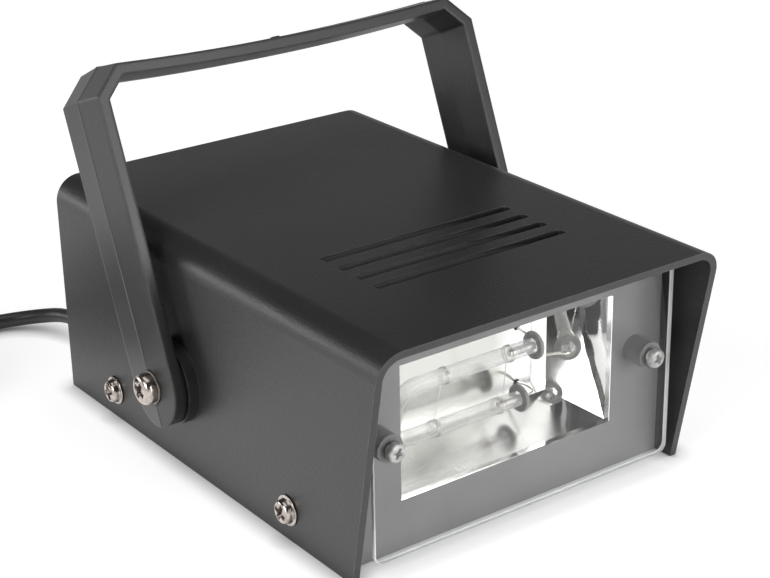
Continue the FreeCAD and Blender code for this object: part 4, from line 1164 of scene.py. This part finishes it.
@dataclass
class MainsLead:
    """The lead with its strain relief, coil, tie and plug.

    The route leads from the exit and the tail from the coil's middle, both in millimetres. Each turn
    of the coil has a column, outward, and a layer, upward. The control points of a turn lie a little
    outside it, because a spline cuts their corners.
    """

    width: float = 4.8 * MM
    exit: Point = (-40.0 * MM, 96.2 * MM, 8.0 * MM)
    coil_offset: Point = (-74.0 * MM, 11.6 * MM)
    coil_radius: float = 27.0 * MM
    lift: float = 0.8 * MM
    route: Sequence[Point] = ((0.0, 0.0, 0.0), (0.0, 13.0, 0.0), (-5.5, 28.0, -4.2),
                              (-20.0, 35.5, -5.6), (-45.0, 38.0, -5.6))
    turns: Sequence[tuple[int, int]] = ((1, 0), (0, 0), (-1, 0), (-1, 1), (0, 1), (1, 1), (1, 2))
    steps: int = 16
    crossing: float = 0.4
    outside: float = 1.0095
    tail: Sequence[Point] = ((-1.0, 34.9, 13.6), (-10.5, 36.9, 15.0), (-20.1, 36.0, 16.6),
                             (-28.5, 31.4, 18.4), (-33.2, 23.0, 20.0), (-33.2, 13.2, 21.0),
                             (-28.5, 4.9, 21.7), (-20.1, 0.0, 21.95), (-15.0, 0.0, 21.95))

    def centre(self) -> Vector:
        """The coil's middle on the floor."""
        return Vector((self.exit[0] + self.coil_offset[0], self.exit[1] + self.coil_offset[1], 0.0))

    def points(self) -> list[Vector]:
        """Lay the lead.

        Returns:
            Its control points, from its strain relief to its plug.
        """
        points = [Vector(self.exit) + Vector(p) * MM for p in self.route]
        middle = self.centre()
        for step in range(len(self.turns) * self.steps):
            share = step / self.steps
            here = self.turns[int(share)]
            after = self.turns[min(int(share) + 1, len(self.turns) - 1)]
            part = max(0.0, share - int(share) - (1 - self.crossing)) / self.crossing
            ease = part * part * (3 - 2 * part)
            column, layer = (old + (new - old) * ease for old, new in zip(here, after))
            radius = (self.coil_radius + column * self.width) * self.outside
            angle = math.pi / 2 + 2 * math.pi * share
            height = self.lift + self.width * (layer + 0.5)
            points.append(middle + Vector((radius * math.cos(angle), radius * math.sin(angle), height)))
        return points + [middle + Vector(p) * MM for p in self.tail]

    def build(self) -> None:
        """Make the lead and dress the pieces on it."""
        lead = cable("mains_lead", self.points(), self.width / 2, LEAD_SHEATH, steps=5, facets=5)
        settle(lead, "power_cord", "power_cord", "cord_coil")
        relief = dress("strain_relief", RELIEF_RUBBER, 0.3 * MM)
        tie = dress("cord_tie", TIE_PLASTIC)
        plug = dress("plug_body", PLUG_RUBBER)
        pins = dress("plug_pins", PIN_PLATE, 0.4 * MM)


# ---------- studio
@dataclass(frozen=True)
class Lamp:
    """A soft lamp: its place, the point that it faces, its size in metres and its power in watts."""

    name: str
    place: Point
    aim: Point
    size: tuple[float, float]
    power: float

    def hang(self) -> None:
        """Put the lamp into the scene."""
        data = put(bpy.data.lights.new(self.name, "AREA"), shape="RECTANGLE", energy=self.power)
        data.size, data.size_y = self.size
        made = put(stand(self.name, data), location=self.place)
        made.rotation_euler = (Vector(self.aim) - Vector(self.place)).to_track_quat("-Z", "Y").to_euler()


@dataclass
class Studio:
    """The pale floor, the soft lights, the surroundings and the camera.

    A glow is given as its first and last strength, and where the first ends and the last starts: for
    the floor in metres from the origin, and for the sky in the slope that is looked up.
    """

    eye: Point = (-0.2928, -0.4153, 0.2559)
    azimuth: float = -37.157
    elevation: float = 23.521
    roll: float = -0.6
    lens: float = 87.904
    shift: tuple[float, float] = (-0.0458, 0.0298)
    floor_half: float = 4.0
    floor_drop: float = 0.15 * MM
    floor_colour: Point = (0.86, 0.86, 0.86, 1)
    floor_glow_share: float = 0.5
    foot_reach: float = 7 * MM
    foot_power: float = 1.6
    glow_seen: Point = (1.5, 2.1, 0.6, 1.6)
    glow_mirrored: Point = (2.0, 0.9, 0.3, 0.7)
    glow_behind: Point = (1.0, 0.4, 0.06, 0.14)
    behind_way: Point = (1.2, 1.0, 0.0)
    sky_glow: Point = (1.0, 0.06, 0.12, 0.32)
    white: Point = (1, 1, 1, 1)
    lamps: Sequence[Lamp] = (
        Lamp("top_light", (0.0, 0.1, 1.5), (0, 0, 0), (1.3, 1.3), 7.0),
        Lamp("left_light", (-1.35, -0.3, 0.75), (0, 0, 0.05), (0.9, 0.9), 14.0),
        Lamp("edge_light", (-0.92, 1.05, 0.22), (0, 0, 0.05), (0.7, 0.28), 3.0),
        Lamp("front_light", (0.4, -1.4, 0.50), (0, 0, 0.03), (0.9, 0.9), 15.0),
    )

    def camera(self) -> None:
        """Stand the camera at its place."""
        a, e, r = (math.radians(v) for v in (self.azimuth, self.elevation, self.roll))
        back = Vector((math.sin(a) * math.cos(e), -math.cos(a) * math.cos(e), math.sin(e)))
        right = Vector((0, 0, 1)).cross(back).normalized()
        up = back.cross(right)
        turned = right * math.cos(r) + up * math.sin(r)
        raised = up * math.cos(r) - right * math.sin(r)
        data = put(bpy.data.cameras.new("camera"), lens=self.lens, sensor_width=36.0, clip_end=50.0)
        data.shift_x, data.shift_y = self.shift
        made = stand("camera", data)
        facing = Matrix((turned, raised, back)).transposed().to_4x4()
        made.matrix_world = Matrix.Translation(self.eye) @ facing
        bpy.context.scene.camera = made

    def floor(self) -> None:
        """Lay the floor, white to the camera and to what mirrors it, and shaded where the lamp stands.

        The glow is dimmer close to the object's foot. Farther away it rises to the camera, and falls
        to what mirrors it, as it does behind the object on the right.
        """
        half = self.floor_half
        maker = Maker()
        corners = [(-half, -half), (half, -half), (half, half), (-half, half)]
        maker.mesh.faces.new([maker.mesh.verts.new((x, y, -self.floor_drop)) for x, y in corners])
        shader = Shader("studio_floor")
        shader.set(Base_Color=self.floor_colour, Roughness=0.9, Specular_IOR_Level=0.1)
        rays = shader.node("LightPath").outputs
        seen = shader.number("MAXIMUM", rays["Is Camera Ray"], rays["Is Glossy Ray"])
        also = shader.number("MAXIMUM", seen, rays["Is Transmission Ray"])
        foot = shader.node("AmbientOcclusion", settings={"samples": 12}, Distance=self.foot_reach)
        away = shader.measure("LENGTH", shader.place)
        behind = shader.measure("DOT_PRODUCT", shader.place, self.behind_way)
        fade = shader.number("MULTIPLY", shader.spread(away, *self.glow_mirrored),
                             shader.spread(behind, *self.glow_behind))
        level = shader.mix(rays["Is Camera Ray"], fade, shader.spread(away, *self.glow_seen))
        shade = shader.number("POWER", foot.outputs["AO"], self.foot_power)
        strength = shader.number("MULTIPLY", shade, level)
        glow = shader.node("Emission", Color=self.white, Strength=strength)
        share = shader.number("MULTIPLY", also, self.floor_glow_share)
        mix = shader.node("MixShader", share, shader.surface.outputs[0], glow.outputs[0])
        shader.feed(shader.output.inputs["Surface"], mix.outputs[0])
        maker.hand_over("floor", [shader.material])

    def surroundings(self) -> None:
        """Light from all round: white to the camera, pale near the horizon and dark above."""
        world = put(bpy.data.worlds.new("studio"), use_nodes=True)
        bpy.context.scene.world = world
        world.node_tree.nodes.clear()
        sky = Nodes(world.node_tree)
        way = sky.node("SeparateXYZ", sky.node("TexCoord").outputs["Generated"])
        dim = sky.node("Background", self.white, sky.spread(way.outputs["Z"], *self.sky_glow))
        plain = sky.node("Background", self.white, 1.0)
        seen = sky.node("LightPath").outputs["Is Camera Ray"]
        mix = sky.node("MixShader", seen, dim.outputs[0], plain.outputs[0])
        sky.node("OutputWorld", mix.outputs[0])

    def build(self) -> None:
        """Set up the whole studio."""
        self.camera()
        self.floor()
        self.surroundings()
        for lamp in self.lamps:
            lamp.hang()


def main() -> None:
    """Build the studio and every sub-assembly, in order."""
    logging.basicConfig(level=logging.INFO, format="%(name)s: %(message)s")
    bpy.context.scene.view_settings.view_transform = "Standard"
    for part in (Studio(), MainsLead(), Housing(), Bracket(), Fasteners(), Window(), FlashUnit(),
                 SpeedControl(), Driver()):
        part.build()


if __name__ == "__main__":
    main()
